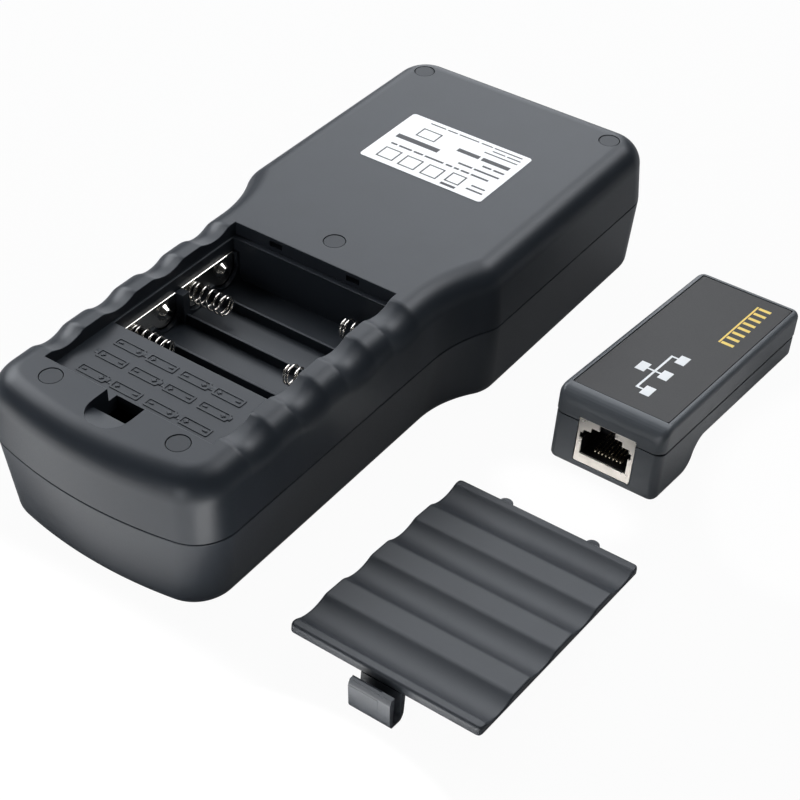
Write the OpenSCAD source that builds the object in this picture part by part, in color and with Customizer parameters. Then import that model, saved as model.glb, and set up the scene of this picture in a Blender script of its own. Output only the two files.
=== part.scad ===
// Network cable tester lying face down, with its battery cover taken off beside it and its remote unit.
// X is across the tester, Y runs from the handle end to the head, Z is up from the resting face.

/* [Tester body] */
// Length from the handle end to the head
body_length = 185; // [180:1:195]
// Width of the head
head_width = 80; // [78:1:86]
// Width of the handle
handle_width = 69; // [67:1:72]
// Height from the front face to the back
body_height = 40; // [39:0.5:43]
// Height of the parting plane above the front face
parting_height = 22.5; // [22:0.25:23]
// Corner radius of the head, seen from above
head_corner = 10; // [8.5:0.5:13]
// Corner radius of the handle end, seen from above
end_corner = 11; // [9:0.5:13]
// Radius of the bowed handle end
end_bow = 120; // [100:5:200]
// How far the neck starts ahead of the cover's recess
neck_ahead = 24.5; // [23:0.5:26]
// Length of the neck's S-curve
neck_length = 22; // [20:0.5:22]
// Radius of the neck's outer bend
neck_round = 10; // [8.5:0.5:12]
// Edge radius of the back
back_fillet = 7; // [5:0.5:7.5]
// Edge radius of the front
front_fillet = 4; // [3:0.5:5]
// Draft of the back shell's side, parting plane to back
back_draft = 0.5; // [0.2:0.1:0.8]
// Draft of the front shell's side, parting plane to front
front_draft = 1.2; // [0.6:0.1:1.5]
// Further taper of the handle towards the front
handle_taper = 1.6; // [0.5:0.1:2]
// Wall of both shells
wall = 2.2; // [1.8:0.1:2.4]
// Chamfer that makes the parting line
parting_chamfer = 0.35; // [0.2:0.05:0.5]
// Height of the front shell's tongue
tongue_height = 1.5; // [1:0.1:2]
// Thickness of the front shell's tongue
tongue_thickness = 0.9; // [0.7:0.1:1.1]
// Clearance between the tongue and the back shell
tongue_gap = 0.15; // [0.1:0.05:0.25]

/* [Finger grooves] */
// Number of finger grooves across the handle
groove_count = 4; // [4]
// Distance between neighbouring grooves
groove_pitch = 17.3; // [17:0.1:17.5]
// Flat land between neighbouring grooves
groove_land = 5.2; // [4.6:0.1:6]
// Land between an end groove and the end of the cover's recess
groove_edge = 1.6; // [1.2:0.1:2]
// Depth of a groove
groove_depth = 1.4; // [1:0.05:1.6]
// Radius of the crest between a groove and its land
groove_round = 3; // [1:0.1:4]

/* [Battery bay] */
// Diameter of one AAA cell
cell_diameter = 10.5; // [10.2:0.1:10.5]
// Length of one AAA cell
cell_length = 44.5; // [43.5:0.1:44.5]
// Distance between neighbouring cells
lane_pitch = 10.9; // [10.7:0.1:11]
// Length kept for the contacts beyond a cell
contact_room = 4.3; // [4:0.1:4.4]
// Depth of the bay beyond a cell's diameter
bay_headroom = 1.6; // [1.2:0.1:1.8]
// Wall of the tub around the cells
tub_wall = 1.6; // [1.2:0.1:1.8]
// Distance of the cover's recess from the handle end
recess_end = 17.8; // [17.4:0.1:18.4]
// Width of the cover's recess
recess_width = 50; // [49.6:0.1:50.6]
// Ledge between the recess and the far end of the bay
ledge = 1.7; // [1.4:0.1:2]
// Height of the ribs between the cells
rib_height = 2.6; // [2:0.1:3]
// Thickness of the ribs between the cells
rib_thickness = 1; // [0.8:0.1:1.2]

/* [Contacts] */
// Thickness of a contact plate
plate_thickness = 0.4; // [0.3:0.05:0.5]
// Radius of the round lobe behind a cell's end
lobe_radius = 4.2; // [3.8:0.1:4.4]
// Height of a plate's upper edge above the cell's axis
plate_rise = 3.6; // [3:0.1:4]
// Radius of the dome that meets a cell's button
dome_radius = 2.6; // [2.2:0.1:2.8]
// Height of that dome
dome_height = 1.5; // [1.2:0.1:1.8]
// Thickness of the moulded surround in front of the plates
surround = 1.2; // [0.8:0.1:1.4]
// Wire diameter of a contact spring
spring_wire = 0.6; // [0.5:0.05:0.7]
// Mean radius of a contact spring
spring_radius = 2.5; // [2.2:0.1:2.8]
// Rise of a spring in one turn
spring_pitch = 2.15; // [1.8:0.05:2.3]
// Turns of a spring
spring_turns = 5; // [4.5:0.5:6]

/* [Battery cover] */
// Height of the cover from its underside's rim to its lands
cover_thickness = 3.4; // [3.2:0.1:3.6]
// Thickness of the cover's plate at its lands
cover_plate = 2.4; // [2.2:0.1:2.6]
// Clearance between the cover and its recess
cover_gap = 0.2; // [0.1:0.05:0.3]
// Distance of each tab from the cover's middle
tab_x = 12; // [10:0.5:15]
// Radius of the round tabs on the far edge
tab_radius = 1.8; // [1.5:0.1:2.4]
// How far the tabs stand out
tab_reach = 1.5; // [1.2:0.1:1.8]
// Thickness of the tabs
tab_thickness = 1.2; // [1:0.1:1.4]
// Width of the latch
latch_width = 10.8; // [9:0.1:11]
// Thickness of the latch's legs
latch_leg = 1.2; // [1:0.1:1.3]
// Gap between the legs of the latch
latch_gap = 2.8; // [2.6:0.1:3.2]
// Length of the latch's straight legs below the cover
latch_drop = 4.6; // [4:0.1:6]
// Height of the free leg's upper edge above the cover's rim
latch_rise = 2.3; // [2:0.1:2.6]
// How far the free leg leans out at its upper edge
latch_lean = 0.65; // [0.4:0.05:0.8]
// Height of the slope on the latch's lip
lip_slope = 1.7; // [1.4:0.1:2]
// Width of the latch's lip
lip_width = 7.6; // [6:0.1:9]
// Gap at the latch's flexing line
flex_gap = 0.3; // [0.2:0.05:0.4]
// Place of the cover's middle, across the tester
cover_x = 77.7; // [72:0.1:90]
// Place of the cover's middle, along the tester
cover_y = -51.6; // [-70:0.1:-45]
// Turn of the cover on the table, in degrees
cover_yaw = 0.5; // [-2:0.1:3]

/* [Screws and plugs] */
// Distance of the head's screws from its sides
head_screw_side = 9.5; // [9:0.1:11]
// Distance of the head's screws from its end
head_screw_end = 10; // [9.5:0.1:12]
// Distance of the middle screw from the cover's recess
middle_screw = 8.4; // [8:0.1:10]
// Half distance between the screws at the handle end
end_screw_x = 19; // [17:0.5:21]
// Distance of those screws from the handle end
end_screw_end = 13.6; // [13:0.1:14]
// Radius of a screw plug
plug_radius = 2.75; // [2.6:0.05:2.9]
// Length of a screw plug
plug_length = 4; // [3:0.5:6]
// Radius of a case screw's shank
screw_radius = 1.4; // [1.2:0.1:1.5]
// Length of a case screw's shank
screw_length = 12; // [10:0.5:13]
// Clearance around screws, plugs and bosses
screw_gap = 0.15; // [0.1:0.05:0.2]
// Wall of the screw bosses
boss_wall = 1.9; // [1.5:0.1:2]

/* [Label] */
// Width of the rear label
label_width = 38.6; // [34:0.2:44]
// Length of the rear label
label_length = 25.3; // [22:0.1:28]
// Distance of the label's middle from the head's end
label_inset = 43.2; // [38:0.1:48]
// Thickness of the label
label_thickness = 0.12; // [0.08:0.02:0.2]

/* [Board and display] */
// Thickness of the front wall
front_wall = 2.4; // [2.2:0.1:2.6]
// Height of the main board's underside
board_height = 10; // [9.6:0.1:10.4]
// Thickness of the boards
board_thickness = 1.6; // [1.2:0.1:1.8]
// Width of the view through the display window
view_width = 56; // [50:0.5:58]
// Length of the view through the display window
view_length = 34; // [30:0.5:36]
// Border of the window pane around the view
window_border = 3; // [2.5:0.1:3.5]
// How far the display's middle lies behind the middle of the head
display_shift = 3.75; // [2:0.25:5]
// Thickness of the window pane
window_thickness = 1.2; // [1:0.1:1.3]
// How far the pane lies below the front face
window_sink = 0.4; // [0.3:0.05:0.5]

/* [Keypad] */
// Depth of the keypad's recess in the front face
keypad_sink = 1.4; // [1.2:0.1:1.6]
// Width of a key
key_width = 13.4; // [12:0.1:14]
// Length of a key
key_length = 8; // [7:0.1:8.6]
// Distance between neighbouring keys across the tester
key_pitch_x = 22; // [21:0.5:23]
// Distance between neighbouring keys along the tester
key_pitch_y = 15; // [14.5:0.5:16]
// Distance of the keypad's middle from the handle end
keypad_end = 63.5; // [61:0.5:65]
// Clearance around a key
key_gap = 0.3; // [0.2:0.05:0.4]
// Travel of a key
key_travel = 0.8; // [0.5:0.1:1]
// How far a key stands below the front face
key_sink = 0.5; // [0.4:0.05:0.6]
// Flange of a key inside the front wall
key_flange = 1.3; // [1:0.1:1.5]

/* [Jacks] */
// Width of a shielded modular jack
jack_width = 15.6; // [15.2:0.1:16]
// Height of a jack
jack_height = 12.6; // [12.4:0.1:12.8]
// Depth of a jack
jack_depth = 15.6; // [15:0.1:16]
// Sheet of a jack's shield
shield_sheet = 0.35; // [0.25:0.05:0.4]
// Width of the plug's opening
plug_width = 11.9; // [11.6:0.1:12]
// Height of the plug's opening
plug_height = 6.5; // [6.3:0.1:6.7]
// Distance of the tester's jacks from its middle line
jack_x = 14; // [12:0.5:16]
// Clearance around a jack in a shell
jack_gap = 0.2; // [0.1:0.05:0.3]

/* [Remote unit] */
// Length of the remote
remote_length = 75; // [73:0.5:85]
// Width of the remote
remote_width = 30; // [29:0.5:33]
// Height of the remote at its jack end
remote_height = 20.8; // [20.5:0.1:23]
// Height of the remote's parting plane
remote_parting = 13.6; // [13:0.1:14]
// Length of the flat foot below the jack
foot_length = 14.8; // [14.5:0.1:16]
// Height that the underside sweeps up by
underside_rise = 7.4; // [6.5:0.1:7.6]
// Length of the underside's sweep
sweep_length = 10; // [9:0.1:11]
// Radius of the sweep's lower bend
sweep_round = 4.5; // [3.5:0.1:5]
// Edge radius of the remote's nose
nose_round = 4.4; // [4:0.1:5]
// Edge radius of the remote's other edges
remote_round = 1.6; // [1.2:0.1:2]
// Wall of the remote's shells
remote_wall = 1.7; // [1.4:0.1:1.8]
// Width of the overlay
overlay_width = 26; // [24:0.1:26.4]
// Margin of the overlay at the remote's nose
overlay_nose = 4.5; // [4.4:0.1:6]
// Margin of the overlay at the remote's tail
overlay_tail = 2.2; // [1.8:0.1:3]
// Thickness of the overlay
overlay_thickness = 0.5; // [0.4:0.05:0.7]
// Gap around the overlay
overlay_gap = 0.25; // [0.15:0.05:0.35]
// Radius of a remote screw's shank
remote_screw_radius = 1; // [0.9:0.05:1.1]
// Place of the remote's nose, across the tester
remote_x = 78.9; // [76:0.1:95]
// Place of the remote's nose, along the tester
remote_y = 2.8; // [0:0.1:10]
// Turn of the remote on the table, in degrees
remote_yaw = 0.1; // [-3:0.1:3]

/* [Hidden] */

$fn = 48;
eps = 0.05;
cut = 60;

shell_colour = "#4a4d51";
metal_colour = "#c9c6be";
gold_colour = "#d8b25a";
black_colour = "#1b1b1d";
board_colour = "#2f6b45";

y_head = body_length / 2;
y_end = -body_length / 2;
tongue_inset = wall + back_draft + tongue_gap;
tongue_root = 3;
crown_lap = 1.2;
cavity_top = body_height - back_fillet - groove_depth + crown_lap;

// Recess, grooves and battery bay
recess_depth = cover_thickness + cover_gap;
recess_length = groove_count * groove_pitch - groove_land + 2 * groove_edge;
recess_near = y_end + recess_end;
recess_far = recess_near + recess_length;
recess_middle = recess_near + recess_length / 2;
neck_top = recess_far + neck_ahead;
shelf_z = body_height - recess_depth;
groove_half = (groove_pitch - groove_land) / 2;
groove_turn = 2 * atan(groove_depth / groove_half);
groove_valley = groove_half / sin(groove_turn) - groove_round;
lanes = 4;
bay_width = cell_length + contact_room;
bay_far = recess_far - ledge;
bay_near = bay_far - lanes * lane_pitch;
bay_floor = shelf_z - cell_diameter - bay_headroom;
cell_z = bay_floor + cell_diameter / 2;
surround_rise = 3.2;
bridge_drop = 4.75;
surround_height = cell_diameter / 2 + surround_rise;
surround_gap = 0.4;
strip_drop = 2;
post_reach = 1.4;
post_half = 1.2;
tail_half = 1;
tail_reach = 2.1;
tail_z = bay_floor - tub_wall - tail_reach;
lead_radius = 0.6;

// Cover latch and its slot in the back shell
bend_inner = latch_gap / 2;
bend_outer = bend_inner + latch_leg;
cover_width = recess_width - 2 * cover_gap;
cover_length = recess_length - 2 * cover_gap;
latch_reach = latch_gap + latch_leg + latch_lean;
slot_play = 1.4;
slot_width = latch_width + 3 * cover_gap;
slot_far = recess_near + latch_leg + slot_play;
slot_near = recess_near - latch_reach - slot_play;
scoop_margin = 0.5;
scoop_radius = slot_width / 2 + scoop_margin;
scoop_inset = 1.8;
scoop_depth = 2.2;
tab_lift = cover_thickness - cover_plate;
cover_corner = 1;
rim_inset = 1.2;
rim_wall = 1.5;
cover_foot = cover_length / 2 - rim_inset;
bend_y = -cover_length / 2 - bend_inner;
cover_tilt = asin(bend_outer / norm([cover_foot - bend_y, latch_drop]))
    + atan2(latch_drop, cover_foot - bend_y);
cover_lift = sin(cover_tilt) * cover_foot;

// Screws: two at the head, one in the middle, two at the handle end
head_screw_x = head_width / 2 - head_screw_side;
screw_places = [[-head_screw_x, y_head - head_screw_end], [head_screw_x, y_head - head_screw_end],
    [0, recess_far + middle_screw],
    [-end_screw_x, y_end + end_screw_end], [end_screw_x, y_end + end_screw_end]];
well_radius = plug_radius + screw_gap;
boss_radius = well_radius + boss_wall;
post_radius = screw_radius + screw_gap + boss_wall;
plug_sink = 0.1;
head_height = 2;
head_gap = 0.1;
drive_width = 0.7;
drive_length = 3.2;
seat_rise = 3.5;
seat_z = parting_height + seat_rise;

// Label
label_corner = 1;

// Board, display and keypad
display_y = (neck_top + y_head) / 2 - display_shift;
keypad_y = y_end + keypad_end;
board_top = board_height + board_thickness;
board_margin = 7;
board_half_head = head_width / 2 - board_margin;
board_half_handle = bay_width / 2 + tub_wall;
board_tail = 8;
board_near = bay_near - board_tail;
board_end_gap = 4;
board_far = y_head - board_end_gap;
standoff_radius = 3;
standoff_margin = 4;
hole_gap = 0.4;
window_seat = window_sink + window_thickness;
window_width = view_width + 2 * window_border;
window_length = view_length + 2 * window_border;
window_corner = 2;
window_gap = 0.2;
lcd_border = 3;
lcd_gap = 0.2;
lcd_z = front_wall + lcd_gap;
key_wall = 2;
key_inner = keypad_sink + key_wall;
flange_thickness = 1;
flange_z = key_inner + key_gap;
mat_z = flange_z + flange_thickness + key_travel + key_gap;
keypad_border = 3;
keypad_width = key_pitch_x + key_width + 2 * (key_flange + keypad_border);
keypad_length = key_pitch_y + key_length + 2 * (key_flange + keypad_border);
keypad_corner = 3;
pad_rim = 1.5;
mat_rim = 2;
key_sides = [[-1, 1], [1, 1], [-1, -1], [1, -1]];
chip_y = display_y - 4;
chip_height = 1.6;
chip_corner = 0.4;
controller_size = 14;
driver_x = 18;
driver_width = 6;
driver_length = 10;

// Jacks
jack_face = 0.6;
jack_floor = 2.2;
shield_front = 0.5;
step_width = 7.1;
step_height = 1.6;
notch_width = 4.2;
pin_count = 8;
pin_pitch = 1.02;
pin_width = 0.45;
pin_thickness = 0.35;
pin_start = 2.6;
pin_lift = 0.15;
pin_rise = 2.2;
insert_gap = 0.1;
insert_front = shield_front + insert_gap;
plug_depth = 11;
pin_back = insert_front + plug_depth;

// Remote
remote_jack_y = 0.3;
remote_floor = 2;
seat_gap = 0.1;
remote_jack_z = remote_floor + seat_gap;
sweep_angle = 2 * atan(underside_rise / sweep_length);
sweep_top_round = sweep_length / sin(sweep_angle) - sweep_round;
remote_pitch = asin((sweep_round - remote_round)
        / norm([remote_length - remote_round - foot_length, underside_rise + remote_round - sweep_round]))
    + atan2(underside_rise + remote_round - sweep_round, remote_length - remote_round - foot_length);
remote_lift = foot_length * sin(remote_pitch) + sweep_round * (1 - cos(remote_pitch));
remote_board_y = remote_jack_y + jack_depth + seat_gap;
remote_board_thickness = 1.2;
remote_board_margin = 3.5;
remote_board_gap = 0.6;
resistor_size = [2, 0.8, 3.2];
resistor_count = 4;
resistor_pitch = 4;
resistor_rise = 1;
remote_step_y = remote_board_y + remote_board_thickness + 1.5 * resistor_size.y;
remote_step_drop = 2.4;
remote_step_z = underside_rise - remote_step_drop;
remote_ceiling = remote_height - overlay_thickness - remote_wall;
remote_screw_first = 14;
remote_screw_last = 9;
remote_screw_y = [remote_step_y + remote_screw_first, remote_length - remote_screw_last];
remote_screw_length = 6;
remote_post_radius = 3.2;
remote_head_rim = 0.9;
remote_head_radius = remote_screw_radius + remote_head_rim;
remote_head_height = 1.6;
remote_head_sink = 0.4;
remote_post_wall = 0.6;
nose_extra = 0.5;
nose_wall = remote_wall + nose_extra;
overlay_sink = 0.1;

// Points of an arc about c from angle a to angle b
function arc(c, r, a, b, n) = [for (i = [0 : n]) let (t = a + (b - a) * i / n) c + r * [cos(t), sin(t)]];

function unit(v) = v / norm(v);

function groove_y(i) = recess_far - groove_edge - groove_half - i * groove_pitch;

function lane_y(i) = bay_far - (i + 0.5) * lane_pitch;

// How far an arc of radius r falls at a distance d from its crest
function arc_drop(r, d) = r - sqrt(r * r - d * d);

// How far the grooves lower the back at y: an arc in each valley, and a rounded crest on both its sides
function groove_drop(y) = max([for (i = [0 : groove_count - 1])
    let (d = abs(y - groove_y(i)))
    d >= groove_half ? 0
        : d > groove_valley * sin(groove_turn) ? arc_drop(groove_round, groove_half - d)
        : groove_depth - arc_drop(groove_valley, d)]);

// Places across one groove at which its profile is drawn
function groove_places(i, crest, valley) = [for (p = concat(
    [for (k = [0 : crest]) groove_half - groove_round * sin(groove_turn * k / crest)],
    [for (k = [1 : valley - 1]) groove_valley * sin(groove_turn * (1 - 2 * k / valley))],
    [for (k = [crest : -1 : 0]) groove_round * sin(groove_turn * k / crest) - groove_half])) groove_y(i) + p];

// Right half of the body's outline, from the head to the handle end, drawn in by draft and taper
function half_outline(draft, taper) = let (
    hw = head_width / 2 - draft,
    gw = handle_width / 2 - draft - taper,
    turn = 2 * atan((hw - gw) / neck_length),
    both = neck_length / sin(turn),
    bow_y = y_end + draft + end_bow,
    corner_x = gw - end_corner,
    corner_y = bow_y - sqrt(pow(end_bow - end_corner, 2) - corner_x * corner_x),
    meet = atan2(corner_y - bow_y, corner_x))
    concat(
        arc([hw - head_corner, y_head - draft - head_corner], head_corner, 90, 0, 7),
        arc([hw - neck_round, neck_top], neck_round, 0, -turn, 4),
        arc([gw + both - neck_round, neck_top - neck_length], both - neck_round, 180 - turn, 180, 7),
        [for (i = [0 : groove_count - 1], y = groove_places(i, 2, 6)) [gw, y]],
        arc([corner_x, corner_y], end_corner, 0, meet, 7),
        [for (j = [1 : 3]) let (t = meet + (-90 - meet) * j / 3.5)
            [end_bow * cos(t), bow_y + end_bow * sin(t)]]);

// Outline closed by its mirror image, clockwise from above
function ring(half) = concat(half, [for (i = [len(half) - 1 : -1 : 0]) [-half[i].x, half[i].y]]);

// The outline moved inwards by d
function inset(p, d) = [for (i = [0 : len(p) - 1]) let (
    u = unit(p[i] - p[(i + len(p) - 1) % len(p)]),
    v = unit(p[(i + 1) % len(p)] - p[i]),
    m = unit(u + v))
    p[i] + d / (m * v) * [m.y, -m.x]];

function drop_duplicates(p) = [for (i = [0 : len(p) - 1]) if (i == 0 || norm(p[i] - p[i - 1]) > 0.001) p[i]];

function body_outline(draft, taper) = ring(drop_duplicates(half_outline(draft, taper)));

function at_height(p, z) = [for (q = p) [q.x, q.y, z]];

// Solid through rings of equal count, lowest first, with ends that span from side to side
module loft(rings) {
    n = len(rings[0]);
    top = len(rings) - 1;
    h = n / 2;
    sides = [for (r = [0 : top - 1], i = [0 : n - 1]) let (
        a = r * n + i, b = r * n + (i + 1) % n, c = b + n, d = a + n)
        each [[a, b, c], [a, c, d]]];
    caps = [for (i = [0 : h - 2]) let (t = top * n, j = n - 1 - i)
        each [[t + i, t + i + 1, t + j - 1], [t + i, t + j - 1, t + j],
            [i + 1, i, j - 1], [j - 1, i, j]]];
    polyhedron(points = [for (r = rings) each r], faces = concat(sides, caps), convexity = 8);
}

// Outer form of the back shell, with the finger grooves running over its sides
module back_form() {
    foot = body_outline(0, 0);
    crown = body_outline(back_draft, 0);
    steps = 7;
    loft(concat(
        [at_height(inset(foot, parting_chamfer), parting_height),
            at_height(foot, parting_height + parting_chamfer)],
        [for (k = [0 : steps]) let (t = 90 * k / steps)
            [for (p = inset(crown, back_fillet * (1 - cos(t))))
                [p.x, p.y, body_height - groove_drop(p.y) - back_fillet * (1 - sin(t))]]]));
}

// Outer form of the front shell
module front_form() {
    foot = body_outline(front_draft, handle_taper);
    crown = body_outline(0, 0);
    steps = 5;
    loft(concat(
        [for (k = [0 : steps]) let (t = 90 * k / steps)
            at_height(inset(foot, front_fillet * (1 - sin(t))), front_fillet * (1 - cos(t)))],
        [at_height(crown, parting_height - parting_chamfer),
            at_height(inset(crown, parting_chamfer), parting_height)]));
}

module body_prism(depth, z0, z1) {
    translate([0, 0, z0]) linear_extrude(z1 - z0) polygon(inset(body_outline(0, 0), depth));
}

// A box from corner a to corner b
module block(a, b) {
    translate(a) cube(b - a);
}

// A flat shape drawn in Y and Z, given a thickness along +X
module along_x(x, thickness) {
    translate([x, 0, 0]) rotate([90, 0, 90]) linear_extrude(thickness) children();
}

module at_screws() {
    for (p = screw_places) translate([p.x, p.y, 0]) children();
}

module rounded_slab(w, l, h, r) {
    linear_extrude(h) {
        square([w - 2 * r, l], center = true);
        square([w, l - 2 * r], center = true);
        for (x = [-1, 1], y = [-1, 1]) translate([x * (w / 2 - r), y * (l / 2 - r)]) circle(r);
    }
}

module at_key(i) {
    translate([key_sides[i].x * key_pitch_x / 2, keypad_y + key_sides[i].y * key_pitch_y / 2, 0]) children();
}

// A key's outline with round ends
module key_slab(grow, h) {
    w = key_width + 2 * grow;
    l = key_length + 2 * grow;
    linear_extrude(h) {
        square([w - l, l], center = true);
        for (x = [-1, 1]) translate([x * (w - l) / 2, 0]) circle(l / 2);
    }
}

// Room for the tester's two jacks in the end wall
module jack_windows() {
    for (x = [-jack_x, jack_x])
        block([x - jack_width / 2 - jack_gap, y_head - jack_depth, board_top - jack_gap],
            [x + jack_width / 2 + jack_gap, y_head + 1, board_top + jack_height + jack_gap]);
}

// Moulded surround with a round opening at each contact, lower where one plate spans two cells, and the
// post between the plates
module bay_surround(side, post_lanes, bridge_lanes) {
    opening = lobe_radius + surround_gap;
    x0 = side < 0 ? -bay_width / 2 + plate_thickness : bay_width / 2 - plate_thickness - surround;
    along_x(x0, surround) difference() {
        translate([bay_near, bay_floor - eps]) square([bay_far - bay_near, surround_height]);
        for (i = [0 : lanes - 1]) translate([lane_y(i), cell_z]) {
            circle(opening);
            translate([-opening, 0]) square([2 * opening, cell_diameter]);
        }
        for (i = bridge_lanes)
            translate([lane_y(i) - lane_pitch, bay_floor + surround_height - bridge_drop])
                square([lane_pitch, cell_diameter]);
    }
    for (i = post_lanes) {
        y = lane_y(i) - lane_pitch / 2;
        x1 = side < 0 ? x0 : x0 - post_reach;
        block([x1, y - post_half, bay_floor - eps],
            [x1 + surround + post_reach, y + post_half, cell_z + plate_rise]);
    }
}

module back_shell() color(shell_colour) {
    difference() {
        union() {
            difference() {
                back_form();
                body_prism(wall + back_draft, parting_height - eps, cavity_top);
                intersection() {
                    body_prism(wall + back_draft + back_fillet / 2, cavity_top - eps, body_height - wall);
                    block([-cut, recess_far + tab_reach + cover_gap + wall, 0], [cut, y_head, cut]);
                }
            }
            block([-bay_width / 2 - tub_wall, bay_near - tub_wall, bay_floor - tub_wall],
                [bay_width / 2 + tub_wall, bay_far + tub_wall, cavity_top + 1]);
            at_screws() translate([0, 0, parting_height])
                cylinder(r = boss_radius, h = body_height - wall + eps - parting_height);
        }
        block([-recess_width / 2, recess_near, shelf_z], [recess_width / 2, recess_far, cut]);
        block([-bay_width / 2, bay_near, bay_floor], [bay_width / 2, bay_far, cut]);
        block([-slot_width / 2, slot_near, cavity_top - 1], [slot_width / 2, slot_far, cut]);
        translate([0, slot_near + scoop_inset, body_height - scoop_depth])
            cylinder(r = scoop_radius, h = cut);
        for (x = [-tab_x, tab_x])
            block([x - tab_radius - cover_gap, recess_far - eps, shelf_z + tab_lift],
                [x + tab_radius + cover_gap, recess_far + tab_reach + cover_gap,
                    shelf_z + tab_lift + tab_thickness + 2 * cover_gap]);
        at_screws() {
            translate([0, 0, seat_z]) cylinder(r = well_radius, h = cut);
            translate([0, 0, parting_height - eps]) cylinder(r = screw_radius + screw_gap, h = cut);
        }
        jack_windows();
        for (i = [0, lanes - 1])
            translate([0, lane_y(i), bay_floor])
                block([bay_width / 2 - plate_thickness - eps, -tail_half - eps, -tub_wall - eps],
                    [bay_width / 2, tail_half + eps, eps]);
    }
    for (i = [1 : lanes - 1]) {
        y = lane_y(i) + lane_pitch / 2;
        block([-bay_width / 2 + plate_thickness + surround, y - rib_thickness / 2, bay_floor - eps],
            [bay_width / 2 - plate_thickness - surround, y + rib_thickness / 2, bay_floor + rib_height]);
    }
    bay_surround(-1, [1], [0, 2]);
    bay_surround(1, [0, 2], [1]);
}

module front_shell() color(shell_colour) difference() {
    inner_wall = wall + parting_chamfer;
    union() {
        difference() {
            front_form();
            loft([at_height(inset(body_outline(front_draft, handle_taper), inner_wall), front_wall),
                at_height(inset(body_outline(0, 0), inner_wall), parting_height + eps)]);
        }
        difference() {
            union() {
                body_prism(wall, parting_height - tongue_root, parting_height);
                body_prism(tongue_inset, parting_height - eps, parting_height + tongue_height);
            }
            body_prism(tongue_inset + tongue_thickness, 0, cut);
        }
        at_screws() translate([0, 0, front_wall - eps])
            cylinder(r = post_radius, h = parting_height - front_wall);
        for (p = [[board_half_head, neck_top], [board_half_handle, board_near]], x = [-1, 1])
            translate([x * (p.x - standoff_margin), p.y + standoff_margin, front_wall - eps])
                cylinder(r = standoff_radius, h = board_height - front_wall + eps);
        block([-keypad_width / 2, keypad_y - keypad_length / 2, front_wall - eps],
            [keypad_width / 2, keypad_y + keypad_length / 2, key_inner]);
    }
    translate([0, display_y, -eps])
        rounded_slab(window_width + 2 * window_gap, window_length + 2 * window_gap,
            window_seat + eps, window_corner + window_gap);
    translate([0, display_y, 0]) rounded_slab(view_width, view_length, front_wall + eps, window_corner);
    translate([0, keypad_y, -eps])
        rounded_slab(keypad_width - 2 * pad_rim, keypad_length - 2 * pad_rim,
            keypad_sink + eps, keypad_corner);
    for (i = [0 : len(key_sides) - 1]) at_key(i) key_slab(key_gap, key_inner + eps);
    at_screws() translate([0, 0, seat_z - screw_length - hole_gap])
        cylinder(r = screw_radius + screw_gap, h = cut);
    jack_windows();
}

module screw_plugs() color(shell_colour)
    at_screws() translate([0, 0, body_height - plug_length - plug_sink])
        cylinder(r = plug_radius, h = plug_length);

module case_screws() color(metal_colour)
    at_screws() translate([0, 0, seat_z]) difference() {
        union() {
            cylinder(r = plug_radius - head_gap, h = head_height);
            translate([0, 0, -screw_length]) cylinder(r = screw_radius, h = screw_length + eps);
        }
        for (a = [0, 90]) translate([0, 0, head_height]) rotate(a)
            cube([drive_length, drive_width, head_height], center = true);
    }

module rear_label() color("white")
    translate([0, y_head - label_inset, body_height])
        rounded_slab(label_width, label_length, label_thickness, label_corner);

// Plate behind the lanes in a list, with a dome at one lane, and a solder tail where it has one
module contact_plate(side, lanes_used, dome_lane, tail) {
    x = side < 0 ? -bay_width / 2 : bay_width / 2 - plate_thickness;
    ends = [for (i = lanes_used) lane_y(i)];
    along_x(x, plate_thickness) {
        for (y = ends) translate([y, cell_z]) circle(lobe_radius);
        translate([min(ends) - lobe_radius, cell_z])
            square([max(ends) - min(ends) + 2 * lobe_radius, plate_rise]);
        translate([min(ends), cell_z - strip_drop]) square([max(ends) - min(ends) + eps, strip_drop + eps]);
        if (tail) translate([ends[0] - tail_half, tail_z]) square([2 * tail_half, cell_z - tail_z]);
    }
    if (dome_lane >= 0) {
        sink = dome_radius * dome_radius / (2 * dome_height) - dome_height / 2;
        translate([side * (bay_width / 2 - plate_thickness + eps), lane_y(dome_lane), cell_z])
            rotate([0, -side * 90, 0]) rotate_extrude() intersection() {
                translate([0, eps - sink]) circle(dome_height + sink);
                square([2 * dome_radius, 2 * dome_height]);
            }
    }
}

module first_left_contact() color(metal_colour) contact_plate(-1, [0, 1], 0, false);
module second_left_contact() color(metal_colour) contact_plate(-1, [2, 3], 2, false);
module right_bridge_contact() color(metal_colour) contact_plate(1, [1, 2], 1, false);
module negative_terminal() color(metal_colour) contact_plate(1, [0], -1, true);
module positive_terminal() color(metal_colour) contact_plate(1, [3], 3, true);

// Places along a contact spring, as a distance and an angle: a straight foot, a bend in two steps
// of 60 and 30 degrees to the turns, and the helix
function spring_path() = let (
    per_turn = 8,
    wire_turn = spring_wire / spring_radius * 180 / PI,
    foot = [spring_wire, 0],
    bend = foot + [spring_wire * sin(60), wire_turn * cos(60)],
    start = bend + [spring_wire * sin(30), wire_turn * cos(30)])
    concat(
        [[0, 0], foot, bend, start],
        [for (k = [1 : per_turn * spring_turns])
            start + [spring_pitch, 360] * k / per_turn]);

function spring_point(q) = [q.x, spring_radius * cos(q.y), spring_radius * sin(q.y)];

// Least gap between one stretch of the wire and another, half a turn or more apart
function spring_gap() = let (p = [for (q = spring_path()) spring_point(q)])
    min([for (i = [0 : len(p) - 5], j = [i + 4 : len(p) - 1]) norm(p[i] - p[j])]) - spring_wire;

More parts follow.
